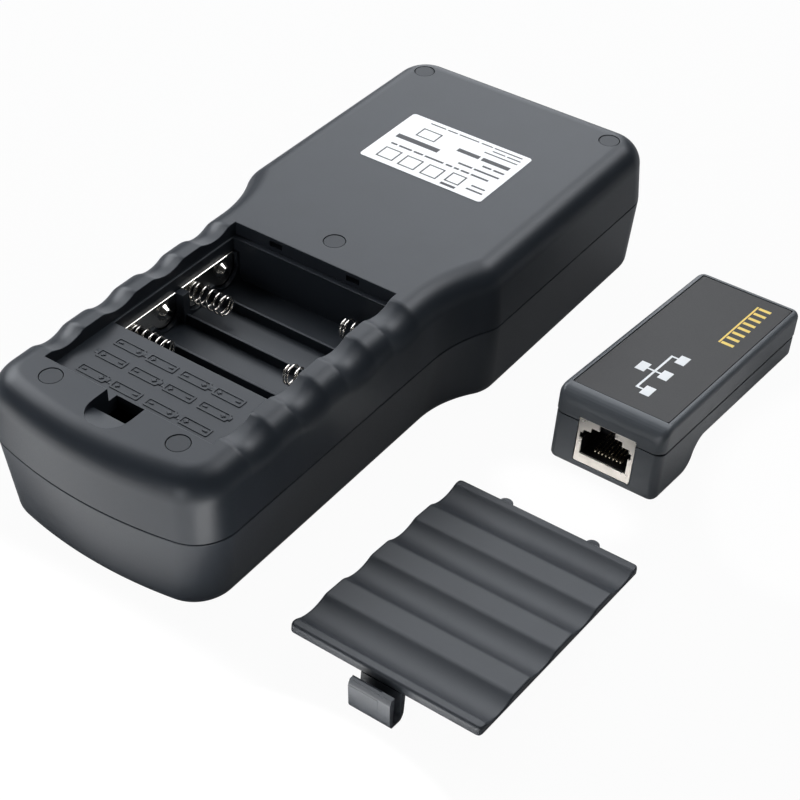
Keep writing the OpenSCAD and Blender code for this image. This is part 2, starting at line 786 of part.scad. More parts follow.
module contact_spring() {
    sides = 6;
    path = spring_path();
    last = len(path) - 1;
    points = [for (i = [0 : last]) let (
        q = path[i],
        out = [0, cos(q.y), sin(q.y)],
        run = i == 0 ? [1, 0, 0]
            : unit(spring_point(path[min(i + 1, last)]) - spring_point(path[i - 1])),
        across = unit(cross(run, out)))
        each [for (s = [0 : sides - 1]) let (t = 360 * s / sides)
            spring_point(q) + spring_wire / 2 * (cos(t) * out + sin(t) * across)]];
    walls = [for (i = [0 : last - 1], s = [0 : sides - 1]) let (
        a = i * sides + s, b = i * sides + (s + 1) % sides)
        each [[a, a + sides, b], [b, a + sides, b + sides]]];
    end = last * sides;
    caps = [for (s = [1 : sides - 2]) each [[0, s, s + 1], [end, end + s + 1, end + s]]];
    polyhedron(points = points, faces = concat(walls, caps), convexity = 10);
}

module spring_at(side, lane) color(metal_colour)
    translate([side * (bay_width / 2 - plate_thickness), lane_y(lane), cell_z])
        rotate([0, 0, side < 0 ? 0 : 180]) contact_spring();

module first_spring() spring_at(1, 0);
module second_spring() spring_at(-1, 1);
module third_spring() spring_at(1, 2);
module fourth_spring() spring_at(-1, 3);

module battery_leads() color("#b03a34")
    for (i = [0, lanes - 1]) translate([bay_width / 2 - plate_thickness / 2, lane_y(i), board_top])
        cylinder(r = lead_radius, h = tail_z - board_top);

module main_board() color(board_colour) translate([0, 0, board_height]) difference() {
    linear_extrude(board_thickness) {
        translate([-board_half_head, neck_top]) square([2 * board_half_head, board_far - neck_top]);
        translate([-board_half_handle, board_near])
            square([2 * board_half_handle, neck_top - board_near + eps]);
    }
    at_screws() translate([0, 0, -eps]) cylinder(r = post_radius + hole_gap, h = cut);
}

module controller_chip() color(black_colour)
    translate([0, chip_y, board_top])
        rounded_slab(controller_size, controller_size, chip_height, chip_corner);

module driver_chips() color(black_colour)
    for (x = [-driver_x, driver_x]) translate([x, chip_y, board_top])
        rounded_slab(driver_width, driver_length, chip_height, chip_corner);

module lcd_module() color("#5d6f63") translate([0, display_y, lcd_z])
    rounded_slab(view_width + 2 * lcd_border, view_length + 2 * lcd_border,
        board_height - lcd_z, window_corner);

module display_window() color([0.75, 0.82, 0.85, 0.6]) translate([0, display_y, window_sink])
    rounded_slab(window_width, window_length, window_thickness, window_corner);

module keypad_mat() color("#8d9094") translate([0, keypad_y, mat_z])
    rounded_slab(keypad_width - 2 * mat_rim, keypad_length - 2 * mat_rim,
        board_height - mat_z, keypad_corner);

module key(i) color("#6a6d70")
    at_key(i) {
        translate([0, 0, key_sink]) key_slab(0, flange_z - key_sink + eps);
        translate([0, 0, flange_z]) key_slab(key_flange, flange_thickness);
    }

module power_key() key(0);
module up_key() key(1);
module test_key() key(2);
module down_key() key(3);

// Opening of a jack: the plug's way, the step above it and the latch's notch
module jack_opening() {
    translate([-plug_width / 2, jack_floor]) square([plug_width, plug_height]);
    translate([-step_width / 2, jack_floor + plug_height - eps]) square([step_width, step_height + eps]);
    translate([-notch_width / 2, jack_floor + plug_height + step_height - eps])
        square([notch_width, jack_height]);
}

// Pieces of a jack whose mouth looks along -Y at y = 0
module jack_shield() color(metal_colour) difference() {
    block([-jack_width / 2, 0, 0], [jack_width / 2, jack_depth, jack_height]);
    block([-jack_width / 2 + shield_sheet, shield_front, shield_sheet],
        [jack_width / 2 - shield_sheet, jack_depth - shield_sheet, jack_height - shield_sheet]);
    translate([0, shield_front + eps, 0]) rotate([90, 0, 0]) linear_extrude(2 * shield_front) jack_opening();
}

module jack_insert() color(black_colour) {
    side = shield_sheet + insert_gap;
    difference() {
        block([-jack_width / 2 + side, insert_front, side],
            [jack_width / 2 - side, jack_depth - side, jack_height - side]);
        translate([0, pin_back, 0]) rotate([90, 0, 0]) linear_extrude(plug_depth + eps) jack_opening();
    }
}

module jack_pins() color(gold_colour)
    for (i = [0 : pin_count - 1])
        along_x((i - (pin_count - 1) / 2) * pin_pitch - pin_width / 2, pin_width)
            translate([0, jack_floor]) polygon([
                [pin_start, pin_lift], [pin_start, pin_lift + pin_thickness],
                [pin_back, pin_rise], [pin_back, pin_rise - pin_thickness]]);

module tester_jack(side) {
    translate([side * jack_x, y_head - jack_face, board_top]) rotate(180) children();
}

module main_jack_shield() tester_jack(-1) jack_shield();
module main_jack_insert() tester_jack(-1) jack_insert();
module main_jack_pins() tester_jack(-1) jack_pins();
module loop_jack_shield() tester_jack(1) jack_shield();
module loop_jack_insert() tester_jack(1) jack_insert();
module loop_jack_pins() tester_jack(1) jack_pins();

// Cover and latch, drawn flat and then laid on the table, resting on the far edge and the latch
module place_cover() {
    translate([cover_x, cover_y, cover_lift]) rotate([-cover_tilt, 0, cover_yaw]) children();
}

module battery_cover() color(shell_colour) place_cover() {
    near = -cover_length / 2;
    intersection() {
        rounded_slab(cover_width, cover_length, cover_thickness, cover_corner);
        along_x(-cover_width / 2, cover_width) translate([-recess_middle, 0]) polygon(concat(
            [[recess_near, tab_lift], [recess_far, tab_lift], [recess_far, cover_thickness]],
            [for (i = [0 : groove_count - 1], y = groove_places(i, 3, 10))
                [y, cover_thickness - groove_drop(y)]],
            [[recess_near, cover_thickness]]));
    }
    difference() {
        rounded_slab(cover_width - 2 * rim_inset, cover_length - 2 * rim_inset, tab_lift + eps, cover_corner);
        translate([0, 0, -eps])
            rounded_slab(cover_width - 2 * (rim_inset + rim_wall), cover_length - 2 * (rim_inset + rim_wall),
                tab_lift + eps, cover_corner);
    }
    for (x = [-tab_x, tab_x]) intersection() {
        translate([x, -near + tab_reach - tab_radius, tab_lift]) cylinder(r = tab_radius, h = tab_thickness);
        block([x - cut, -near - eps, 0], [x + cut, cut, cut]);
    }
    block([-latch_width / 2, near, -latch_drop], [latch_width / 2, near + latch_leg, tab_lift + eps]);
    along_x(-latch_width / 2, latch_width) translate([bend_y, -latch_drop]) difference() {
        circle(bend_outer);
        circle(bend_inner);
        translate([-cut, 0]) square(2 * cut);
    }
}

// Free leg of the latch: it leans out, and its lip slopes up from the outside
module cover_latch() color(shell_colour) place_cover() translate([0, 0, -latch_drop]) {
    base = flex_gap;
    top = latch_drop + latch_rise;
    along_x(-latch_width / 2, latch_width) translate([bend_y - bend_outer, 0]) polygon([
        [0, base], [latch_leg, base], [latch_leg, top - 2 * lip_slope],
        [latch_leg - latch_lean, top - lip_slope], [-latch_lean, top - lip_slope]]);
    along_x(-latch_width / 2, lip_width) translate([bend_y - bend_outer, 0]) polygon([
        [latch_leg - latch_lean, top - 2 * lip_slope], [latch_leg, top - 2 * lip_slope],
        [latch_leg, top], [-latch_lean, top - lip_slope]]);
    along_x(lip_width - latch_width / 2 - eps, latch_width - lip_width + eps)
        translate([bend_y - bend_outer - latch_lean, top - lip_slope - eps]) square([latch_leg, lip_slope]);
}

// Remote unit, drawn level with its mouth at y = 0 and then laid on its foot and its tail
module place_remote() {
    translate([remote_x, remote_y, remote_lift]) rotate([-remote_pitch, 0, remote_yaw]) children();
}

function rounded_box_points(a, b, r, n) = concat(
    arc([a.x + r, a.y + r], r, 180, 270, n), arc([b.x - r, a.y + r], r, 270, 360, n),
    arc([b.x - r, b.y - r], r, 0, 90, n), arc([a.x + r, b.y - r], r, 90, 180, n));

// Side view of the remote: round nose, flat foot and the underside that sweeps up to the tail
function remote_side() = let (
    r = remote_round,
    low = [foot_length, sweep_round],
    high = low + (sweep_round + sweep_top_round) * [sin(sweep_angle), -cos(sweep_angle)])
    concat(
        arc([r, r], r, 180, 270, 4),
        arc(low, sweep_round, -90, -90 + sweep_angle, 8),
        arc(high, sweep_top_round, 90 + sweep_angle, 90, 8),
        arc([remote_length - r, underside_rise + r], r, -90, 0, 4),
        arc([remote_length - r, remote_height - r], r, 0, 90, 4),
        arc([nose_round, remote_height - nose_round], nose_round, 90, 180, 8));

module remote_form() {
    w = remote_width / 2;
    intersection() {
        along_x(-w, remote_width) polygon(drop_duplicates(remote_side()));
        linear_extrude(cut) polygon(rounded_box_points([-w, 0], [w, remote_length], 1.5 * remote_round, 5));
        translate([0, remote_length, 0]) rotate([90, 0, 0]) linear_extrude(remote_length)
            polygon(rounded_box_points([-w, 0], [w, remote_height], remote_round, 4));
    }
}

module remote_jack_room() {
    block([-jack_width / 2 - jack_gap, -1, remote_floor],
        [jack_width / 2 + jack_gap, remote_jack_y + jack_depth, remote_jack_z + jack_height + jack_gap]);
}

module at_remote_screws() {
    for (y = remote_screw_y) translate([0, y, 0]) children();
}

module remote_upper_shell() color(shell_colour) place_remote() {
    inner = remote_width / 2 - remote_wall;
    difference() {
        intersection() {
            remote_form();
            block([-cut, -cut, remote_parting], [cut, 2 * cut, cut]);
        }
        difference() {
            block([-inner, nose_wall, remote_parting - eps],
                [inner, remote_length - remote_wall, remote_ceiling]);
            at_remote_screws() cylinder(r = remote_post_radius, h = cut);
        }
        translate([0, 0, remote_height - overlay_thickness])
            block([-overlay_width / 2 - overlay_gap, overlay_nose - overlay_gap, 0],
                [overlay_width / 2 + overlay_gap, remote_length - overlay_tail + overlay_gap, cut]);
        at_remote_screws() translate([0, 0, remote_parting - eps])
            cylinder(r = remote_screw_radius + seat_gap, h = remote_ceiling - remote_parting);
        remote_jack_room();
    }
}

module remote_lower_shell() color(shell_colour) place_remote() {
    inner = remote_width / 2 - remote_wall;
    difference() {
        intersection() {
            remote_form();
            block([-cut, -cut, -cut], [cut, 2 * cut, remote_parting]);
        }
        difference() {
            union() {
                block([-inner, remote_wall, remote_floor], [inner, foot_length, cut]);
                block([-inner, foot_length - eps, remote_step_z], [inner, remote_step_y, cut]);
                block([-inner, remote_step_y - eps, underside_rise + remote_wall],
                    [inner, remote_length - remote_wall, cut]);
            }
            at_remote_screws() cylinder(r = remote_post_radius + remote_post_wall, h = cut);
        }
        at_remote_screws() {
            cylinder(r = remote_head_radius + screw_gap,
                h = underside_rise + remote_head_height + remote_head_sink);
            cylinder(r = remote_screw_radius + screw_gap, h = cut);
        }
        remote_jack_room();
    }
}

module remote_overlay() color("#34322f") place_remote()
    block([-overlay_width / 2, overlay_nose, remote_height - overlay_thickness],
        [overlay_width / 2, remote_length - overlay_tail, remote_height - overlay_sink]);

module remote_board() color(board_colour) place_remote()
    block([-jack_width / 2 - remote_board_margin, remote_board_y, remote_step_z + 2 * seat_gap],
        [jack_width / 2 + remote_board_margin, remote_board_y + remote_board_thickness,
            remote_ceiling - remote_board_gap]);

module remote_network() color(black_colour) place_remote()
    for (i = [0 : resistor_count - 1])
        translate([(i - resistor_count / 2) * resistor_pitch + resistor_size.x / 2,
            remote_board_y + remote_board_thickness, underside_rise + remote_wall + resistor_rise])
            cube(resistor_size);

module remote_jack() {
    place_remote() translate([0, remote_jack_y, remote_jack_z]) children();
}

module remote_jack_shield() remote_jack() jack_shield();
module remote_jack_insert() remote_jack() jack_insert();
module remote_jack_pins() remote_jack() jack_pins();

module remote_screws() color(metal_colour) place_remote()
    at_remote_screws() translate([0, 0, underside_rise + remote_head_sink]) {
        cylinder(r = remote_head_radius, h = remote_head_height);
        cylinder(r = remote_screw_radius, h = remote_head_height + remote_screw_length);
    }

echo(spring_gap = spring_gap());

back_shell();
front_shell();
screw_plugs();
case_screws();
rear_label();
first_left_contact();
second_left_contact();
right_bridge_contact();
negative_terminal();
positive_terminal();
first_spring();
second_spring();
third_spring();
fourth_spring();
battery_leads();
main_board();
controller_chip();
driver_chips();
lcd_module();
display_window();
keypad_mat();
power_key();
up_key();
down_key();
test_key();
main_jack_shield();
main_jack_insert();
main_jack_pins();
loop_jack_shield();
loop_jack_insert();
loop_jack_pins();
battery_cover();
cover_latch();
remote_upper_shell();
remote_lower_shell();
remote_overlay();
remote_board();
remote_network();
remote_jack_shield();
remote_jack_insert();
remote_jack_pins();
remote_screws();
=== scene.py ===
import bmesh
import bpy
import math
from mathutils import Matrix, Vector


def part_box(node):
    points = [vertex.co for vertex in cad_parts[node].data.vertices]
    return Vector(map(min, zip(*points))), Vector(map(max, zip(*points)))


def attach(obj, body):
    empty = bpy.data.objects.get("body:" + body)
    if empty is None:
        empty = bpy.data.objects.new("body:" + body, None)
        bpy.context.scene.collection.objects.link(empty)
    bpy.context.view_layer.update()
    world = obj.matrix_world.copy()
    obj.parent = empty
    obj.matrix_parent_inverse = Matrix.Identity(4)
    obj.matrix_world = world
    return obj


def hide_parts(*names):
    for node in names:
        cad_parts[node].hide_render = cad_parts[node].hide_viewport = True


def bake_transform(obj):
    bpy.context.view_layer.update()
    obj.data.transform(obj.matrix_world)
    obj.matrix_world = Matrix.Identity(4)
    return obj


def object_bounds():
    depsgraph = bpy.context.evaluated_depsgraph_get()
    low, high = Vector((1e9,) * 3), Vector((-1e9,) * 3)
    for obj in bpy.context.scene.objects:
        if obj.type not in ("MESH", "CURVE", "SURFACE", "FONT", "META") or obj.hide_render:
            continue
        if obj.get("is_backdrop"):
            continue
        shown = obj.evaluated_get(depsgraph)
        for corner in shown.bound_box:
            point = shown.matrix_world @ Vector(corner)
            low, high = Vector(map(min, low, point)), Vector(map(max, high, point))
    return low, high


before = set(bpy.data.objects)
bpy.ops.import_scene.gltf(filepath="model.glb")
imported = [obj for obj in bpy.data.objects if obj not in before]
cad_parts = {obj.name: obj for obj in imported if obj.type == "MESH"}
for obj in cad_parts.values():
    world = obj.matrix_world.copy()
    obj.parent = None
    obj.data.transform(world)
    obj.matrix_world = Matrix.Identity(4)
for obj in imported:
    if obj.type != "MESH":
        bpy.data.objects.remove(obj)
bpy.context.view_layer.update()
mm = 0.001
print("frame loaded:", len(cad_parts), "pieces")


def addObject(name, data):
    thing = bpy.data.objects.new(name, data)
    bpy.context.scene.collection.objects.link(thing)
    return thing


def backFrom(azimuth, elevation):
    # from the object towards a camera or a lamp; degrees round from looking along +Y, and up
    a, e = math.radians(azimuth), math.radians(elevation)
    return Vector((math.sin(a) * math.cos(e), -math.cos(a) * math.cos(e), math.sin(e)))


# Camera, fitted to the photographed corners
photoCamera = {
    "azimuth": 35.359,
    "elevation": 40.337,
    "roll": 0.963,
    "distance": 454.333,  # mm
    "target": (21.58, -0.272, 0),
    "lens": 79.53,
    "sensor": 36,
    "clip": (0.01, 10),   # m
}


def makeCamera(c):
    a, r = math.radians(c["azimuth"]), math.radians(c["roll"])
    back = backFrom(c["azimuth"], c["elevation"])
    right = Vector((math.cos(a), math.sin(a), 0))
    up = back.cross(right)
    axes = (right * math.cos(r) + up * math.sin(r), up * math.cos(r) - right * math.sin(r), back)
    data = bpy.data.cameras.new("photoCamera")
    data.lens = c["lens"]
    data.sensor_width = c["sensor"]
    data.clip_start, data.clip_end = c["clip"]
    cam = addObject("photoCamera", data)
    cam.matrix_world = Matrix(axes).transposed().to_4x4()
    cam.location = (Vector(c["target"]) + back * c["distance"]) * mm
    bpy.context.scene.camera = cam


makeCamera(photoCamera)
bpy.context.scene.view_settings.view_transform = "Standard"
print("camera placed")

# Studio: pale floor, soft boxes round the object, pools of light on the paper beside it
studio = {
    "worldLevel": 0.02,
    "floorHalf": 3.0,      # m
    "floorDrop": 0.0003,   # m under the object
    "floorTone": 0.35,     # what the floor throws back on the object
    "cameraShade": 0.04,   # share of the floor's own shade that the camera sees
    "mirrorShade": 0.95,   # the same for gloss and glass
    "aim": (0.02, 0.0, 0.02),
    "tint": (0.925, 0.955, 1.0),
    "reach": 0.95,         # lamps' distance, m
    "lamps": {
        # name: (azimuth, elevation, size m, watts)
        "backStrip": (211, 18, 0.65, 2.25),
        "backBox": (192, 42, 0.6, 1.95),
        "rimBox": (165, 45, 0.4, 2.2),
        "topBox": (231, 49, 0.65, 2.5),
        "leftBox": (267, 35, 0.6, 6.4),
        "frontPanel": (6, 11, 0.45, 2.2),
        "skyBox": (150, 66, 0.6, 2.0),
    },
    "pools": {
        # lit from straight above: (middle m, half width m, half length m, watts)
        "frontPool": ((0.02, -0.302), 0.30, 0.208, 74),
        "remotePool": ((0.075, -0.0068), 0.019, 0.0096, 30),
        "sidePool": ((0.127, 0.040), 0.030, 0.045, 15),
        "coverPool": ((0.079, -0.109), 0.034, 0.015, 180),
    },
    "poolHeight": 0.55,
    "poolBlend": 0.04,
    "poolRadius": 0.004,
}


def mixOf(tree, factor, one, other):
    mix = tree.nodes.new("ShaderNodeMixShader")
    if isinstance(factor, float):
        mix.inputs[0].default_value = factor
    else:
        tree.links.new(factor, mix.inputs[0])
    tree.links.new(one, mix.inputs[1])
    tree.links.new(other, mix.inputs[2])
    return mix.outputs[0]


def makeWorld(s):
    world = bpy.data.worlds.new("studio")
    bpy.context.scene.world = world
    world.use_nodes = True
    tree = world.node_tree
    plain = tree.nodes["Background"]
    white = tree.nodes.new("ShaderNodeBackground")
    for shade, level in ((plain, s["worldLevel"]), (white, 1)):
        shade.inputs["Color"].default_value = (1, 1, 1, 1)
        shade.inputs["Strength"].default_value = level
    path = tree.nodes.new("ShaderNodeLightPath")
    seen = mixOf(tree, path.outputs["Is Camera Ray"], plain.outputs[0], white.outputs[0])
    tree.links.new(seen, tree.nodes["World Output"].inputs["Surface"])


def makeFloor(s):
    half, tone = s["floorHalf"], s["floorTone"]
    mesh = bpy.data.meshes.new("floor")
    corners = [(x * half, y * half, -s["floorDrop"]) for x, y in ((-1, -1), (1, -1), (1, 1), (-1, 1))]
    mesh.from_pydata(corners, [], [(0, 1, 2, 3)])
    floor = addObject("floor", mesh)
    paint = bpy.data.materials.new("floorPaper")
    paint.use_nodes = True
    tree = paint.node_tree
    tree.nodes.remove(tree.nodes["Principled BSDF"])
    matt = tree.nodes.new("ShaderNodeBsdfDiffuse")
    matt.inputs["Color"].default_value = (tone, tone, tone, 1)
    glow = tree.nodes.new("ShaderNodeEmission")
    glow.inputs["Strength"].default_value = 1
    path = tree.nodes.new("ShaderNodeLightPath")
    surface = matt.outputs[0]
    for ray, shade in (("Is Glossy Ray", "mirrorShade"), ("Is Transmission Ray", "mirrorShade"),
                       ("Is Camera Ray", "cameraShade")):
        look = mixOf(tree, 1 - s[shade], matt.outputs[0], glow.outputs[0])
        surface = mixOf(tree, path.outputs[ray], surface, look)
    tree.links.new(surface, tree.nodes["Material Output"].inputs["Surface"])
    mesh.materials.append(paint)
    floor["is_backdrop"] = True


def hang(lamp, watts, at, back):
    lamp.energy = watts
    holder = addObject(lamp.name, lamp)
    holder.location = at
    holder.rotation_euler = back.to_track_quat("Z", "Y").to_euler()
    return holder


def hangLamps(s):
    for name, (azimuth, elevation, size, watts) in s["lamps"].items():
        back = backFrom(azimuth, elevation)
        lamp = bpy.data.lights.new(name, "AREA")
        lamp.shape = "DISK"
        lamp.color = s["tint"]
        lamp.size = size
        hang(lamp, watts, Vector(s["aim"]) + back * s["reach"], back)
    for name, ((x, y), halfWidth, halfLength, watts) in s["pools"].items():
        lamp = bpy.data.lights.new(name, "SPOT")
        lamp.spot_size = 2 * math.atan(halfLength / s["poolHeight"])
        lamp.spot_blend = s["poolBlend"]
        lamp.shadow_soft_size = s["poolRadius"]
        holder = hang(lamp, watts, (x, y, s["poolHeight"]), Vector((0, 0, 1)))
        holder.scale.x = halfWidth / halfLength


makeWorld(studio)
makeFloor(studio)
hangLamps(studio)
print("studio lit")

# Finishes, all on object coordinates
noiseSpan = (0.3, 0.7)         # where most of a noise's values lie
plasticGrain = {
    "cloud": 9.0,              # mm, slow change of tone
    "cloudDetail": 4.0,
    "fineDetail": 2.0,
    "gloss": (-0.03, 0.04),    # added to the roughness along the grain
    "bump": 0.5,
}
metalGrain = {
    "cloud": 2.2,
    "detail": 3.0,
    "darker": 0.9,
    "gloss": (0.75, 1.3),      # shares of the roughness along the streaks
    "height": 0.003,
    "bump": 0.25,
}
pane = {
    "colour": (0.90, 0.94, 0.94),
    "roughness": 0.06,
    "clear": 0.9,
    "bend": 1.49,
    "haze": 6.0,
    "gloss": (0.04, 0.10),
}


def newFinish(name, colour, roughness, metallic=0.0, specular=0.5):
    finish = bpy.data.materials.new(name)
    finish.use_nodes = True
    shader = finish.node_tree.nodes["Principled BSDF"]
    shader.inputs["Base Color"].default_value = (*colour, 1)
    shader.inputs["Roughness"].default_value = roughness
    shader.inputs["Metallic"].default_value = metallic
    shader.inputs["Specular IOR Level"].default_value = specular
    return finish, finish.node_tree, shader


def addNoise(tree, size, detail=3.0):
    place = tree.nodes.new("ShaderNodeTexCoord")
    noise = tree.nodes.new("ShaderNodeTexNoise")
    noise.inputs["Scale"].default_value = 1 / (size * mm)
    noise.inputs["Detail"].default_value = detail
    tree.links.new(place.outputs["Object"], noise.inputs["Vector"])
    return noise.outputs["Fac"]


def setRoughness(tree, shader, noise, low, high):
    node = tree.nodes.new("ShaderNodeMapRange")
    ends = zip(("From Min", "From Max", "To Min", "To Max"), (*noiseSpan, low, high))
    for key, number in ends:
        node.inputs[key].default_value = number
    tree.links.new(noise, node.inputs["Value"])
    tree.links.new(node.outputs["Result"], shader.inputs["Roughness"])


def setTone(tree, shader, noise, darker, lighter):
    ramp = tree.nodes.new("ShaderNodeValToRGB")
    for stop, position, tone in zip(ramp.color_ramp.elements, noiseSpan, (darker, lighter)):
        stop.position = position
        stop.color = (*tone, 1)
    tree.links.new(noise, ramp.inputs["Fac"])
    tree.links.new(ramp.outputs["Color"], shader.inputs["Base Color"])


def addBump(tree, shader, noise, height, strength):
    bump = tree.nodes.new("ShaderNodeBump")
    bump.inputs["Distance"].default_value = height * mm
    bump.inputs["Strength"].default_value = strength
    tree.links.new(noise, bump.inputs["Height"])
    tree.links.new(bump.outputs["Normal"], shader.inputs["Normal"])


def mouldedPlastic(name, colour, roughness, grain=0.3, grainHeight=0.006, spread=0.06, specular=0.5):
    g = plasticGrain
    finish, tree, shader = newFinish(name, colour, roughness, specular=specular)
    cloud = addNoise(tree, g["cloud"], g["cloudDetail"])
    darker, lighter = (tuple(c * (1 + share) for c in colour) for share in (-spread, spread))
    setTone(tree, shader, cloud, darker, lighter)
    fine = addNoise(tree, grain, g["fineDetail"])
    setRoughness(tree, shader, fine, *(roughness + change for change in g["gloss"]))
    addBump(tree, shader, fine, grainHeight, g["bump"])
    return finish


def platedMetal(name, colour, roughness, streak=0.5):
    g = metalGrain
    finish, tree, shader = newFinish(name, colour, roughness, 1.0)
    cloud = addNoise(tree, g["cloud"], g["detail"])
    setTone(tree, shader, cloud, tuple(c * g["darker"] for c in colour), colour)
    fine = addNoise(tree, streak, g["detail"])
    setRoughness(tree, shader, fine, *(roughness * share for share in g["gloss"]))
    addBump(tree, shader, fine, g["height"], g["bump"])
    return finish


def windowPane():
    finish, tree, shader = newFinish("windowPane", pane["colour"], pane["roughness"])
    shader.inputs["Transmission Weight"].default_value = pane["clear"]
    shader.inputs["IOR"].default_value = pane["bend"]
    setRoughness(tree, shader, addNoise(tree, pane["haze"]), *pane["gloss"])
    return finish


finishes = {
    "shell": mouldedPlastic("satinSlatePlastic", (0.0185, 0.0225, 0.0285), 0.38, specular=0.34),
    "plug": mouldedPlastic("plugPlastic", (0.0175, 0.021, 0.0262), 0.46, specular=0.32),
    # cover: the plastic's own slate tone, painted lighter than the shell's to stand in for front light on
    # the latch and the near lip
    "cover": mouldedPlastic("coverPlastic", (0.0282, 0.0322, 0.0380), 0.43, specular=0.42),
    "remote": mouldedPlastic("remotePlastic", (0.070, 0.077, 0.085), 0.40, specular=0.48),
    "overlay": mouldedPlastic("overlayFilm", (0.016, 0.0150, 0.0145), 0.50, grain=0.35, grainHeight=0.004,
                              specular=0.36),
    "nickel": platedMetal("nickelPlate", (0.95, 0.91, 0.84), 0.14),
    "springWire": platedMetal("springWire", (0.86, 0.82, 0.76), 0.2, streak=4.0),
    "tin": platedMetal("tinnedShield", (0.90, 0.84, 0.76), 0.32, streak=4.0),
    "gold": platedMetal("goldWire", (0.92, 0.80, 0.58), 0.24),
    "screw": platedMetal("zincScrew", (0.62, 0.62, 0.62), 0.34),
    "insert": mouldedPlastic("jackInsertBlack", (0.007, 0.007, 0.008), 0.45),
    "chip": mouldedPlastic("chipEpoxy", (0.02, 0.02, 0.021), 0.5),
    "board": mouldedPlastic("boardLaminate", (0.02, 0.11, 0.05), 0.4, grain=0.6),
    "key": mouldedPlastic("keyPlastic", (0.19, 0.195, 0.20), 0.45),
    "rubber": mouldedPlastic("siliconeMat", (0.25, 0.25, 0.255), 0.6),
    "lead": mouldedPlastic("leadSheath", (0.42, 0.03, 0.025), 0.45),
    "label": mouldedPlastic("labelFilm", (0.86, 0.86, 0.85), 0.45, grain=0.5, grainHeight=0.003,
                            spread=0.012),
    "ink": mouldedPlastic("labelInk", (0.035, 0.035, 0.038), 0.55),
    "yellow": mouldedPlastic("yellowInk", (0.76, 0.55, 0.10), 0.5),
    "white": mouldedPlastic("whiteInk", (0.74, 0.75, 0.75), 0.5),
    "display": mouldedPlastic("displayGlass", (0.20, 0.25, 0.20), 0.2),
    "window": windowPane(),
}
print("finishes mixed:", len(finishes))


# Outlines, in millimetres
def arcPoints(x, y, r, start, end, steps):
    turns = [math.radians(start + (end - start) * i / steps) for i in range(steps + 1)]
    return [(x + r * math.cos(t), y + r * math.sin(t)) for t in turns]


def circle(x, y, r, steps=64):
    return arcPoints(x, y, r, 0, 360 - 360 / steps, steps - 1)


def rectangle(lowX, lowY, highX, highY):
    return [(lowX, lowY), (highX, lowY), (highX, highY), (lowX, highY)]


def roundedRectangle(width, length, r, steps=8, x=0.0, y=0.0):
    w, l = width / 2 - r, length / 2 - r
    return [p for cx, cy, a in ((w, l, 0), (-w, l, 90), (-w, -l, 180), (w, -l, 270))
            for p in arcPoints(x + cx, y + cy, r, a, a + 90, steps)]


def bothSides(half):
    return half + [(-x, y) for x, y in reversed(half)]


def shiftRight(points, d):
    # moves every side of an outline to its right: in for clockwise, out for the other way round
    n = len(points)
    moved = []
    for i in range(n):
        p, q, r = Vector(points[i - 1]), Vector(points[i]), Vector(points[(i + 1) % n])
        u, v = (q - p).normalized(), (r - q).normalized()
        m = (u + v).normalized()
        q = q + Vector((m.y, -m.x)) * (d / m.dot(v))
        moved.append((q.x, q.y))
    return moved


def arcDrop(r, d):
    # how far a circle falls away at distance d from its highest point
    return r - math.sqrt(max(r * r - d * d, 0))


def quarterTurn(steps):
    return [math.pi / 2 * k / steps for k in range(steps + 1)]


def roundStep(r, t):
    # inwards from the side and down from the top of a rounded edge
    return r * (1 - math.cos(t)), r * (1 - math.sin(t))


def quarterRound(r, steps):
    return [roundStep(r, t) for t in quarterTurn(steps)]


def acrossX(points, x):
    return [(x, y, z) for y, z in points]


def acrossY(points, y):
    return [(x, y, z) for x, z in points]


def atHeight(points, z):
    return [(x, y, z) for x, y in points]


# Mesh helpers, in millimetres until the object is made
proud = 0.003        # a flared cutter's rounding stands this far over the rim
overlap = 1.0        # cutters and joined blocks reach past each other by this
sameSpot = 0.001     # points closer than this are one
creaseAngle = 35.0   # degrees; sharper edges are rounded and shaded as edges
faceWeight = 80      # how far large faces rule the normals beside them


def meshPiece(name, points, faces):
    mesh = bpy.data.meshes.new(name)
    mesh.from_pydata([(x * mm, y * mm, z * mm) for x, y, z in points], [], faces)
    mesh.update()
    return addObject(name, mesh)


def cleanMesh(piece, merge=0.002, outward=False):
    work = bmesh.new()
    work.from_mesh(piece.data)
    bmesh.ops.remove_doubles(work, verts=work.verts, dist=merge * mm)
    bmesh.ops.dissolve_degenerate(work, edges=work.edges, dist=merge * mm)
    if outward:
        bmesh.ops.recalc_face_normals(work, faces=work.faces)
    work.to_mesh(piece.data)
    work.free()


def sideFaces(rows, n):
    return [(k * n + i, k * n + (i + 1) % n, (k + 1) * n + (i + 1) % n, (k + 1) * n + i)
            for k in range(rows) for i in range(n)]


def loopPiece(name, loops):
    # closed loops of one length, joined in their order and capped at both ends
    n, last = len(loops[0]), len(loops) - 1
    faces = [tuple(range(n)), tuple(range(last * n, last * n + n))] + sideFaces(last, n)
    piece = meshPiece(name, [p for loop in loops for p in loop], faces)
    cleanMesh(piece, outward=True)
    return piece


def loftPiece(name, rings):
    # rings run clockwise from above, lowest first; the ends span from side to side
    n, top = len(rings[0]), len(rings) - 1
    faces = sideFaces(top, n)
    for i in range(n // 2 - 1):
        j = n - 1 - i
        t = top * n
        faces += [(t + i, t + i + 1, t + j - 1, t + j), (i + 1, i, j, j - 1)]
    piece = meshPiece(name, [p for ring in rings for p in ring], faces)
    cleanMesh(piece, outward=True)
    return piece


def prismPiece(name, outline, low, high):
    return loopPiece(name, [atHeight(outline, z) for z in (low, high)])


def alongX(name, outline, low, high):
    return loopPiece(name, [acrossX(outline, x) for x in (low, high)])


def alongY(name, outline, low, high):
    return loopPiece(name, [acrossY(outline, y) for y in (low, high)])


